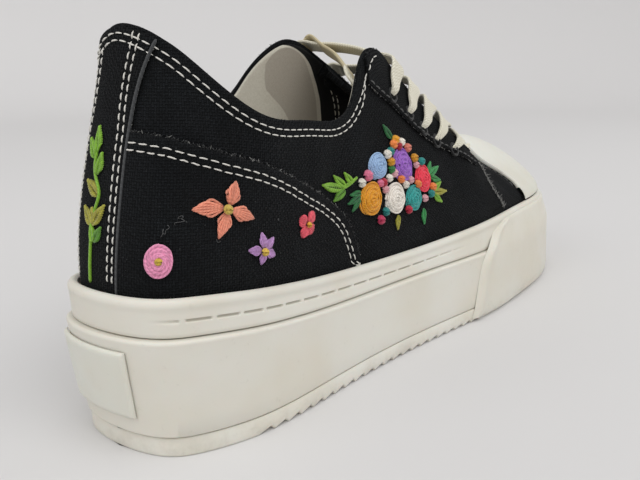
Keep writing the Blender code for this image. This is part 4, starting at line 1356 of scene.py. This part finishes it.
class SNEAKER_OT_panels(bpy.types.Operator):
    """Toe cap, rear panels, heel strip, facings and the quarters' raw front ends"""
    bl_idname = "sneaker.panels"
    bl_label = "Panels"

    def execute(self, context):
        canvas, _ = cloth_looks()
        places, ups = cap_grid(161, 45)
        from_rear = (ups[:, -1:] - ups) * 60
        out = 0.35 + (CAP_WALL - 0.35) * round_edge(from_rear, 1.3)
        cap = lay_grid("toe_cap_shell", on_wall(places, ups, out), [rubber_material()])
        settle(thicken(cap, 0.3), "sole_rubber", "toe_cap")
        ups = np.repeat(np.linspace(PANEL_FOOT, PANEL_HIGH, 51)[None, :], 25, axis=0)
        inner = strip_edge(ups[0], -1)
        outer = strip_edge(ups[0], 1)
        places = inner[None, :] + (outer - inner)[None, :] * np.linspace(0, 1, 25)[:, None]
        self.panel("heel_strip_canvas", places, ups, canvas, "heel_strip")
        for name, side, node in (("rear_panel_outer", 1, "counter_outer"),
                                 ("rear_panel_inner", -1, "counter_inner")):
            self.panel(name, *counter_grid(side, 81, 37), canvas, node)
        for name, inner, node in (("facing_outer", False, "eyestay_outer"),
                                  ("facing_inner", True, "eyestay_inner")):
            self.panel(name, *stay_grid(inner, 101, 21), canvas, node)
        for name, inner in (("quarter_front_outer", False), ("quarter_front_inner", True)):
            places, ups = quarter_grid(inner, 9, 25)
            lift = np.linspace(0.02, 1.0, len(places)) ** 1.5
            lift = (lift[::-1] if inner else lift)[:, None] * smooth(0, 0.1, ups)
            piece = lay_grid(name, on_wall(places, ups, lift - 0.12), [canvas])
            settle(thicken(piece, 0.5), "black_canvas")
        return {"FINISHED"}

    def panel(self, name, places, ups, look, node):
        piece = lay_grid(name, on_wall(places, ups, panel_out(places, ups)), [look])
        settle(thicken(piece, PANEL_WALL), "black_canvas", node)


class SNEAKER_OT_tongue(bpy.types.Operator):
    """Canvas tongue, slanting down to the outer side"""
    bl_idname = "sneaker.tongue"
    bl_label = "Tongue"

    def execute(self, context):
        canvas, _ = cloth_looks()
        points = tongue_rows(61, 7, 23, WALL + 1.2)
        piece = lay_grid("canvas_tongue", points, [canvas])
        settle(thicken(piece, TONGUE_WALL), "black_canvas", "tongue")
        return {"FINISHED"}


class SNEAKER_OT_insole(bpy.types.Operator):
    """Lined sock on the footbed, dished under the heel"""
    bl_idname = "sneaker.insole"
    bl_label = "Insole"

    def execute(self, context):
        shades = colours()
        look = lining_look("insole_weave", tuple(shades.lining), tuple(shades.lining_shade),
                           sizes("lining_weave") * MM)
        places = np.linspace(0, 1, 241)
        x = outline(places)[:, 0]
        inset = upper_inset(x) + WALL + 0.6
        low = ledge(x) + GAP
        top = low + INSOLE_THICK
        levels = [spine(places, low), ring(places, inset, low), ring(places, inset, top - 0.9),
                  ring(places, inset + 0.25, top - 0.3), ring(places, inset + 0.9, top),
                  ring(places, inset + 4, top - 0.15), ring(places, inset + 9, top - 0.6),
                  spine(places, top - 0.9)]
        piece = lay_grid("insole_sock", np.stack(levels, axis=1), [look])
        settle(piece, "lining_cloth", "insole")
        return {"FINISHED"}


class SNEAKER_OT_lace(bpy.types.Operator):
    """One flat lace in straight bars through the eyelets, with a slack pass at the top"""
    bl_idname = "sneaker.lace"
    bl_label = "Lace"

    def execute(self, context):
        shades = colours()
        look = lace_look("lace_weave", tuple(shades.lace), tuple(shades.lace_shade), tuple(shades.worn))
        width = sizes("lace_width")
        stops = []
        from_inner = False
        last_row = None
        for row in LACE_BARS[::-1]:
            stops += self.hidden(last_row, row, from_inner, width)
            last_row = row
            sides = [self.climb(row, inner, width) for inner in (from_inner, not from_inner)]
            start, end = sides[0], sides[1][::-1]
            span = np.linspace(0, 1, 7)[1:-1]
            first, last = start[-1][0], end[0][0]
            arch = [np.array([0, 0, 2.0 * np.sin(np.pi * t)]) for t in span]
            bridge = [(first + (last - first) * t + lift, start[-1][1], width)
                      for t, lift in zip(span, arch)]
            stops += start + bridge + end
            from_inner = not from_inner
        slack = len(stops)
        way = np.array([0.8, 0, -0.6])
        stops += [(on_wall(place_of(106.0), 0.80, -WALL - 0.9).reshape(3), way, width * 0.6)]
        stops += [(np.array(point), way, width * 1.1) for point in SLACK_PASS]
        for row in SLACK_END:
            at = on_wall(place_of(row.x, True), row.up, row.out).reshape(3)
            stops.append((at, way, width * row.share))
        points = self.ribbon(stops)
        # mask of the slack pass, where its painted shade is blended in
        worn = smooth(slack - 0.5, slack + 0.5, np.arange(len(points)) / len(points) * len(stops)) * 0.9
        worn = np.repeat(worn[:, None], points.shape[1], axis=1)
        piece = lay_grid("flat_lace", points, [look], {"worn": worn})
        settle(piece, "lace_cotton", *["lace_bar_%d" % number for number in range(1, len(LACE_BARS) + 1)])
        self.eyelets()
        return {"FINISHED"}

    def hidden(self, lower, upper, inner, width):
        """The lace's run from one eyelet to the next, between the canvas and its lining."""
        if lower is None:
            return []
        stops = []
        for share in (0.2, 0.4, 0.6, 0.8):
            x = lower.eyelet_x + (upper.eyelet_x - lower.eyelet_x) * share
            up = lower.eyelet_up + (upper.eyelet_up - lower.eyelet_up) * share
            at = on_wall(place_of(x, inner), up - 0.03, -CANVAS_WALL - 0.1).reshape(3)
            stops.append((at, np.array([0, 0, -1.0]), width * 0.35))
        return stops

    def climb(self, row, inner, width):
        """From under the facing through an eyelet and over the throat's edge: point, width way, width."""
        before = upper_point(place_of(row.edge_x - 8, inner), 1)[0]
        after = upper_point(place_of(row.edge_x + 8, inner), 1)[0]
        wide = (after - before) * np.array([1, 0, 1])
        wide /= np.linalg.norm(wide)
        steps = ((-0.03, -CANVAS_WALL - 0.05, 0.35), (0.0, -CANVAS_WALL + 0.3, 0.4), (0.03, 0.9, 0.4),
                 (0.1, PANEL_OUT + 0.9, 0.5), (0.34, PANEL_OUT + 1.3, 0.85), (0.68, LACE_OVER, 1.12),
                 (1.0, LACE_OVER, 1.2))
        stops = []
        for share, out, size in steps:
            place = place_of(row.eyelet_x + (row.edge_x - row.eyelet_x) * share, inner)
            up = row.eyelet_up + (1 - row.eyelet_up) * share
            way = wide if share >= 0 else np.array([0, 0, -1.0])
            stops.append((on_wall(place, up, out).reshape(3), way, width * size))
        return stops

    def ribbon(self, stops):
        """Cross-sections of a flat lace along its way."""
        rows = np.array([np.concatenate([point, way, [size]]) for point, way, size in stops])
        far = lengths_along(rows[:, :3])
        fine = spline(far, rows, np.linspace(0, far[-1], len(rows) * 9))
        path, way = fine[:, :3], fine[:, 3:6]
        size = np.clip(fine[:, 6], 2.2, sizes("lace_width") * 1.25)
        tangent = np.gradient(path, axis=0)
        tangent /= np.linalg.norm(tangent, axis=1, keepdims=True)
        way = way - (way * tangent).sum(axis=1, keepdims=True) * tangent
        way /= np.linalg.norm(way, axis=1, keepdims=True)
        flat = np.cross(tangent, way)
        thin = np.interp(size / sizes("lace_width"), (0.36, 0.5), (0.4, 1.0))[:, None]
        thick = sizes("lace_thick") / 2 * thin
        half = ((-1, 0), (-0.93, 0.7), (-0.75, 1), (-0.35, 0.85), (0, 0.9), (0.35, 0.85), (0.75, 1),
                (0.93, 0.7))
        section = half + tuple((-across, -rise) for across, rise in half) + half[:1]
        rings = [path + way * (size / 2 * across)[:, None] + flat * (thick * rise)
                 for across, rise in section]
        points = np.stack(rings, axis=1)
        close = np.repeat(path[[0, -1]][:, None, :], points.shape[1], axis=1)
        return np.concatenate([close[:1], points, close[1:]])

    def eyelets(self):
        """A sewn ring of black thread round each eyelet."""
        turn = np.linspace(0, 2 * np.pi, 19)
        loop = np.column_stack([2.4 * np.cos(turn), 2.4 * np.sin(turn), 0 * turn])
        paths = []
        for row in LACE_BARS:
            for inner in (False, True):
                place = place_of(row.eyelet_x, inner)
                paths.append(flat_on_wall(place, row.eyelet_up, loop, PANEL_OUT + 0.15))
        look = seam_thread()
        piece = tubes("eyelet_stitches", paths, 0.5, look, tuple(colours().canvas_dark), ends=1.0)
        settle(piece, "black_canvas")


class SNEAKER_OT_stitching(bpy.types.Operator):
    """Double rows of white stitches along collar, strip, rear panels and inside the inner facing, and single
    grey rows along the facings and toe cap
    """
    bl_idname = "sneaker.stitching"
    bl_label = "Stitching"

    def execute(self, context):
        white = tuple(colours().seam)
        grey = tuple(colours().dark_seam)
        gap = sizes("row_gap")
        self.paths = []
        self.tints = []
        self.collar(white, gap)
        self.facing(white, gap)
        self.strip(white, gap)
        for side in (1, -1):
            places, ups = counter_grid(side, 81, 29)
            edge = (places[:, -1], ups[:, -1])
            for inset in (2.6, 2.6 + gap):
                self.row(*edge, PANEL_OUT, -inset, white)
        for inner in (False, True):
            places, ups = stay_grid(inner, 101, 21)
            self.row(places[:, 0], ups[:, 0], PANEL_OUT, 1.4, grey)
        places, ups = cap_grid(161, 45)
        self.row(places[:, -1], ups[:, -1], 0.1, 2.4, grey)
        look = seam_thread()
        piece = tubes("seam_stitches", self.paths, sizes("stitch_width") / 2, look, self.tints)
        settle(piece, "black_canvas")
        return {"FINISHED"}

    def collar(self, white, gap):
        """Two rows below the opening's edge and over the heel strip, one of them to the top of each tab."""
        for reach, inset in ((0.2165, 2.8), (0.1985, 2.8 + gap)):
            places = np.linspace(-reach, reach, 480)
            ups = np.ones(480)
            near_end = smooth(0.180, 0.1985, np.abs(places))
            off = inset + (3.3 - inset) * near_end
            over = (places > strip_edge(ups, -1) - 0.001) & (places < strip_edge(ups, 1) + 0.001)
            over = np.maximum(over, smooth(0.1975, 0.2005, np.abs(places)))
            self.row(places, ups, 0.05 + PANEL_OUT * over, -off, white)

    def facing(self, white, gap):
        """Two rows inside the throat, on the black facing of the inner quarter."""
        ups = np.linspace(FACING_SEAM[0].up, FACING_SEAM[-1].up, 50)
        places = curve(FACING_SEAM, "up", "place", ups)
        for inset in (-gap / 2, gap / 2):
            self.row(places, ups, -WALL - 0.4, inset, white, -1.0)

    def strip(self, white, gap):
        """Two rows inside each edge of the heel strip, drawing away from it towards the top."""
        ups = np.linspace(PANEL_LOW, PANEL_HIGH, 60)
        first = np.interp(ups, (0, 0.6, 0.85, 1.0), (1.3, 1.5, 3.3, 4.4))
        for side in (1, -1):
            edge = strip_edge(ups, side)
            for inset in (first, first + gap * 0.9):
                self.row(edge, ups, PANEL_OUT, inset * side, white, share=0.8)

    def row(self, places, ups, out, inset, tint, face=1.0, share=1.0):
        """A row of stitches inset millimetres to the left of a line on the wall. face -1 is the inside."""
        places, ups = beside(places, ups, inset)
        line = on_wall(places, ups, out)
        normal = wall_normal(places, ups)
        far = lengths_along(line)
        pitch = sizes("stitch_pitch") * share
        length = sizes("stitch_length") * share
        count = int(far[-1] // pitch)
        rise = np.array([-0.1, 0.14, 0.2, 0.14, -0.1])
        for middle in (np.arange(count) + 0.5) * far[-1] / count:
            at = middle + np.linspace(-0.5, 0.5, 5) * length
            off = read_along(normal, far, at) * rise[:, None] * face
            self.paths.append(read_along(line, far, at) + off)
            self.tints.append(tint)


class SNEAKER_OT_fray(bpy.types.Operator):
    """Loose yarn ends along the raw edges of collar, panels and facings"""
    bl_idname = "sneaker.fray"
    bl_label = "Frayed edges"

    def execute(self, context):
        self.rng = np.random.default_rng(7)
        self.paths = []
        self.tints = []
        dark = paint(20, 21, 23)
        pale = paint(150, 150, 146)
        places = np.linspace(0, 1, 900)
        self.edge(places, np.full(900, 0.995), -0.5, 1.0, 1.6, dark, pale, 0.03, 0.45)
        for side in (1, -1):
            grid_place, grid_up = counter_grid(side, 81, 29)
            self.edge(grid_place[:, -1], grid_up[:, -1], PANEL_OUT - 0.4, 1.0, 3.4, dark, pale, 0.12)
            ups = np.linspace(PANEL_LOW, PANEL_HIGH, 80)
            self.edge(strip_edge(ups, side), ups, PANEL_OUT - 0.4, -1.0 * side, 1.6, dark, pale, 0.3, 0.6)
        for inner in (False, True):
            grid_place, grid_up = stay_grid(inner, 101, 21)
            self.edge(grid_place[:, -1], grid_up[:, -1], PANEL_OUT - 0.4, 1.0, 3.2, dark, pale, 0.03, 0.8)
            self.edge(grid_place[:, 0], grid_up[:, 0], PANEL_OUT - 0.4, -1.0, 2.4, dark, pale, 0.35, 0.7)
            grid_place, grid_up = quarter_grid(inner, 9, 25)
            column = 0 if inner else -1
            raw = (grid_place[column], grid_up[column])
            hand = 1.0 if inner else -1.0
            self.edge(*raw, 0.9, hand, 11.0, pale, dark, 0.25, 1.5)
            self.edge(*raw, 1.0, -hand, 6.0, pale, dark, 0.25, 1.0)
        self.lint()
        look = seam_thread()
        settle(tubes("frayed_yarns", self.paths, 0.11, look, self.tints, sides=3, ends=0.3), "black_canvas")
        ups = np.linspace(PANEL_FOOT / 3, PANEL_HIGH, 90)
        lines = [on_wall(strip_edge(ups, side), ups, PANEL_OUT - 0.2) for side in (1, -1)]
        rim = tubes("strip_edges", lines, 0.46, look, paint(60, 62, 64))
        settle(rim, "black_canvas")
        return {"FINISHED"}

    def lint(self):
        """A few stray fibres on the rear panel."""
        for x, z, reach in LINT:
            place, up = spot(x, z)
            steps = self.rng.normal(0, 0.5, (9, 2)).cumsum(axis=0)
            flat = np.column_stack([steps * reach, np.full(9, 0.12)])
            flat[:, 0] += np.linspace(-1, 1, 9) * reach
            self.paths.append(curve_through(flat_on_wall(place, up, flat, PANEL_OUT), 24))
            self.tints.append(paint(74, 75, 76))

    def edge(self, places, ups, out, side, per_mm, main, other, share, scale=1.0):
        """Yarn ends along a line on the wall. side 1 points them to its left and -1 to its right."""
        line = on_wall(places, ups, out)
        normal = wall_normal(places, ups)
        tangent = np.gradient(line, axis=0)
        tangent /= np.linalg.norm(tangent, axis=1, keepdims=True) + 1e-9
        away = np.cross(normal, tangent) * side
        far = lengths_along(line)
        count = int(far[-1] * per_mm)
        at = self.rng.uniform(0, far[-1], count)
        length = scale * sizes("fray") * self.rng.uniform(0.25, 1.0, count) ** 1.5
        lean = self.rng.normal(0, 0.9, count)
        lift = self.rng.normal(0.05, 0.25, count)
        bend = self.rng.normal(0, 0.4, (count, 2))
        tone = self.rng.uniform(0, 1, count) < share
        start, way, run, off = (read_along(rows, far, at) for rows in (line, away, tangent, normal))
        for k in range(count):
            t = np.array([-0.2, 0.35, 0.7, 1.0])[:, None]
            path = (start[k] + (way[k] + run[k] * lean[k] + off[k] * lift[k]) * t * length[k]
                    + (run[k] * bend[k, 0] + off[k] * bend[k, 1]) * t ** 2 * length[k])
            self.paths.append(path)
            self.tints.append(other if tone[k] else main)


class SNEAKER_OT_embroidery(bpy.types.Operator):
    """Wheel roses, knots, satin flowers, leaves and a vine in coloured thread"""
    bl_idname = "sneaker.embroidery"
    bl_label = "Embroidery"

    def execute(self, context):
        self.paths = []
        self.tints = []
        self.radii = []
        self.rng = np.random.default_rng(11)
        counter = counter_grid(1, 81, 29)
        self.reach = (np.sort(counter[0][:, -1]), counter[1][np.argsort(counter[0][:, -1]), -1])
        for row in FLOWERS:
            self.flower(row)
        for row in LEAVES:
            self.leaf(*spot(row.x, row.z), row.turn, row.length, row.width, row.tint)
        for row in ROSES:
            self.rose(row)
        self.bullion(HEEL_ROSE)
        for row in KNOTS:
            self.knot(row)
        self.vine()
        look = thread_material("embroidery_thread", 0.3, 0.0011)
        piece = tubes("embroidery", self.paths, self.radii, look, self.tints, sides=7, ends=0.55)
        settle(piece, "black_canvas")
        return {"FINISHED"}

    def ground(self, place, up):
        """Height of the cloth under a motif: higher on the rear panel than on the upper."""
        on_panel = place > 0.9 or up < np.interp(place, *self.reach, right=0)
        return PANEL_OUT if on_panel else 0.0

    def sew(self, place, up, flat, tint, radius, shade=0.12):
        """One thread laid on the cloth round a spot."""
        self.paths.append(flat_on_wall(place, up, flat, self.ground(place % 1, up)))
        tone = 1 + self.rng.uniform(-shade, shade)
        self.tints.append(tuple(min(1, value * tone) for value in paint(*tint)))
        self.radii.append(radius)

    def rose(self, row):
        """A woven wheel: one thread wound round and round over a low dome, over and under its spokes."""
        place, up = spot(row.x, row.z)
        turns = 6.4
        angle = np.linspace(0.9, turns * 2 * np.pi, 170)
        share = angle / angle[-1]
        phase = self.rng.uniform(0, 6)
        tuck = smooth(0.965, 1.0, share)
        lean = np.radians(row.lean)
        for strand in (0, 1):
            radius = row.size * share ** 0.92 * (1 + 0.03 * np.sin(2.5 * angle + phase)) * (1 - 0.08 * tuck)
            radius = radius + (strand - 0.5) * row.size / turns * 0.45
            height = 0.35 + 0.28 * row.size * (1 - share ** 2) + 0.22 * np.sin(2.5 * angle + strand * np.pi)
            along = radius * row.long * np.cos(angle)
            across = radius * np.sin(angle)
            flat = np.column_stack([*turned(along, across, lean), height * (1 - 1.2 * tuck)])
            self.sew(place, up, flat, row.tint, row.size / turns * 0.38)

    def bullion(self, row):
        """A rose of straight stitches that overlap in rounds about its middle."""
        place, up = spot(row.x, row.z)
        t = np.linspace(-1, 1, 9)
        for layer, radius in enumerate((4.6, 3.3, 2.0)):
            for side in range(5):
                turn = np.radians(72 * side + 31 * layer)
                for lane in (-1, 0, 1):
                    reach = row.size / 5 * (radius + lane * 0.46)
                    along = reach * 0.80 * t
                    out = reach * (1 - 0.30 * t ** 2)
                    dome = 0.45 * np.sqrt(np.clip(1 - t ** 2, 0, 1))
                    height = 0.35 + layer * 0.35 + dome + 0.1 * (side % 2)
                    wide, tall = turned(out, along, turn)
                    flat = np.column_stack([HEEL_ROSE_NARROW * wide, tall, height])
                    self.sew(place, up, flat, row.tint, 0.36, 0.2)

    def knot(self, row):
        place, up = spot(row.x, row.z)
        rise = 0.9 if row.x < 60 else 0.0
        angle = np.linspace(0, 2.6 * 2 * np.pi, 34)
        share = np.linspace(0, 1, 34)
        radius = row.size * 0.56 * (1 - 0.75 * share ** 2)
        height = rise + row.size * (0.35 + 0.75 * share)
        flat = np.column_stack([radius * np.cos(angle), radius * np.sin(angle), height])
        self.sew(place, up, flat, row.tint, row.size * 0.42)

    def flower(self, row):
        """Satin stitches from the middle of the flower to the tip of each petal."""
        place, up = spot(row.x, row.z)
        t = np.linspace(0, 1, 8)
        wide = spline((0, 0.35, 0.7, 1), (0.16, 0.72, 1, 0.25 + 0.6 * row.blunt), t)[:, 0]
        for turn, length in row.petals:
            turn = np.radians(turn)
            for lane in np.linspace(-1, 1, 7):
                reach = length * (0.14 + 0.86 * np.sqrt(1 - (0.62 - 0.2 * row.blunt) * lane ** 2) * t)
                across = row.width / 2 * lane * wide
                height = 0.15 + 0.7 * np.sin(np.pi * np.clip(t * 0.94 + 0.03, 0, 1)) * (1 - 0.35 * lane ** 2)
                flat = np.column_stack([*turned(reach, across, turn), height])
                self.sew(place, up, flat, row.tint, row.width / 11, 0.18)

    def leaf(self, place, up, turn, length, width, tint):
        """Fishbone stitches on both sides of a middle rib."""
        turn = np.radians(turn)
        for start in np.linspace(0.0, 0.82, 9):
            for side in (1, -1):
                t = np.linspace(0, 1, 5)
                tip = start + 0.34 * (1 - 0.45 * start)
                half = width / 2 * np.sin(np.pi * np.clip(tip, 0, 1) ** 0.85)
                along = length * (start + (tip - start) * t)
                across = side * (0.12 + half * t)
                height = 0.2 + 0.5 * np.sin(np.pi * (0.1 + 0.8 * t))
                flat = np.column_stack([*turned(along, across, turn), height])
                self.sew(place, up, flat, tint, sizes("thread") * 0.9, 0.2)

    def vine(self):
        ups = np.linspace(VINE[0].up, VINE[-1].up, 40)
        across = curve(VINE, "up", "across", ups)
        line = on_wall(heel_place(across), ups, PANEL_OUT + 0.35)
        for start in range(0, len(ups) - 4, 2):
            self.paths.append(resample(line[start:start + 5], 6))
            self.tints.append(paint(*LIME))
            self.radii.append(sizes("thread") * 1.25)
        for row in VINE_LEAVES:
            self.leaf(heel_place(row.across), row.up, row.turn, row.length, row.width, row.tint)


class SNEAKER_OT_stage(bpy.types.Operator):
    """Pale studio floor, soft light and the camera"""
    bl_idname = "sneaker.stage"
    bl_label = "Stage"

    def execute(self, context):
        scene = context.scene
        rise = np.linspace(0.1, 1, 14) * np.pi / 2
        swept = FLOOR_FLAT + FLOOR_SWEEP * np.sin(rise)
        radius = np.concatenate([[0.0], np.linspace(200, FLOOR_FLAT, 8), swept])
        height = np.concatenate([np.zeros(9), FLOOR_SWEEP * (1 - np.cos(rise))])
        turn = np.linspace(0, 2 * np.pi, 97)
        points = np.stack([np.outer(np.cos(turn), radius), np.outer(np.sin(turn), radius),
                           np.outer(np.ones(97), height)], axis=2) + ORIGIN
        floor = lay_grid("studio_floor", points[::-1], [stage_look("studio_paper", tuple(colours().floor))])
        scene.view_settings.view_transform = "Standard"
        self.camera(scene)
        self.lamp("key_softbox", "AREA", (-0.25, -0.60, 1.05), 1.4, shape="DISK", size=0.9)
        self.lamp("front_softbox", "AREA", (0.80, -0.60, 0.9), 1.4, shape="DISK", size=0.9)
        self.lamp("rear_softbox", "AREA", (-0.95, 0.30, 0.75), 2.2, shape="DISK", size=0.8)
        self.lamp("high_softbox", "SUN", (-0.45, -0.75, 1.1), 1.16, angle=np.radians(75))
        world = scene.world or bpy.data.worlds.new("studio_air")
        scene.world = world
        world.use_nodes = True
        air = world.node_tree.nodes["Background"]
        air.inputs["Color"].default_value = (0.97, 0.96, 0.95, 1.0)
        air.inputs["Strength"].default_value = 0.54
        return {"FINISHED"}

    def camera(self, scene):
        lens = bpy.data.cameras.new("photo_view")
        lens.lens = CAMERA_LENS
        lens.sensor_width = CAMERA_SENSOR
        lens.clip_start = 0.01
        view = bpy.data.objects.new("photo_view", lens)
        scene.collection.objects.link(view)
        ahead = Vector((np.cos(CAMERA_PITCH) * np.cos(CAMERA_YAW), np.cos(CAMERA_PITCH) * np.sin(CAMERA_YAW),
                        -np.sin(CAMERA_PITCH)))
        right = Vector((np.sin(CAMERA_YAW), -np.cos(CAMERA_YAW), 0))
        above = right.cross(ahead)
        c, s = np.cos(CAMERA_ROLL), np.sin(CAMERA_ROLL)
        right, above = right * c + above * s, above * c - right * s
        turn = Matrix((right, above, -ahead)).transposed()
        view.matrix_world = Matrix.Translation(Vector(to_frame(CAMERA_AT))) @ turn.to_4x4()
        scene.camera = view

    def lamp(self, name, kind, at, power, **settings):
        """A soft light aimed at the middle of the shoe."""
        light = bpy.data.lights.new(name, kind)
        light.energy = power
        for key, value in settings.items():
            setattr(light, key, value)
        lamp = bpy.data.objects.new(name, light)
        bpy.context.scene.collection.objects.link(lamp)
        lamp.location = at
        lamp.rotation_euler = (Vector((0, 0, 0.05)) - Vector(at)).to_track_quat("-Z", "Y").to_euler()


class SNEAKER_PT_sidebar(bpy.types.Panel):
    """Lists the sneaker's sizes, colours and operators"""
    bl_idname = "SNEAKER_PT_sidebar"
    bl_label = "Platform sneaker"
    bl_space_type = "VIEW_3D"
    bl_region_type = "UI"
    bl_category = "Sneaker"

    def draw(self, context):
        layout = self.layout
        for group in (context.scene.sneaker_sizes, context.scene.sneaker_colours):
            for key in group.__annotations__:
                layout.prop(group, key)
        for operator in OPERATORS:
            layout.operator(operator.bl_idname)


OPERATORS = (SNEAKER_OT_stage, SNEAKER_OT_lace, SNEAKER_OT_sole, SNEAKER_OT_upper, SNEAKER_OT_panels,
             SNEAKER_OT_tongue, SNEAKER_OT_insole, SNEAKER_OT_stitching, SNEAKER_OT_fray,
             SNEAKER_OT_embroidery)
CLASSES = (SneakerSizes, SneakerColours, *OPERATORS, SNEAKER_PT_sidebar)


def register():
    for kind in CLASSES:
        bpy.utils.register_class(kind)
    bpy.types.Scene.sneaker_sizes = bpy.props.PointerProperty(type=SneakerSizes)
    bpy.types.Scene.sneaker_colours = bpy.props.PointerProperty(type=SneakerColours)


def unregister():
    del bpy.types.Scene.sneaker_colours
    del bpy.types.Scene.sneaker_sizes
    for kind in reversed(CLASSES):
        bpy.utils.unregister_class(kind)


def main():
    register()
    deselect()
    bpy.ops.sneaker.stage()
    bpy.ops.sneaker.lace()
    bpy.ops.sneaker.sole()
    bpy.ops.sneaker.upper()
    bpy.ops.sneaker.panels()
    bpy.ops.sneaker.tongue()
    bpy.ops.sneaker.insole()
    bpy.ops.sneaker.stitching()
    bpy.ops.sneaker.fray()
    bpy.ops.sneaker.embroidery()
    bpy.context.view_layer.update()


if __name__ == "__main__":
    main()
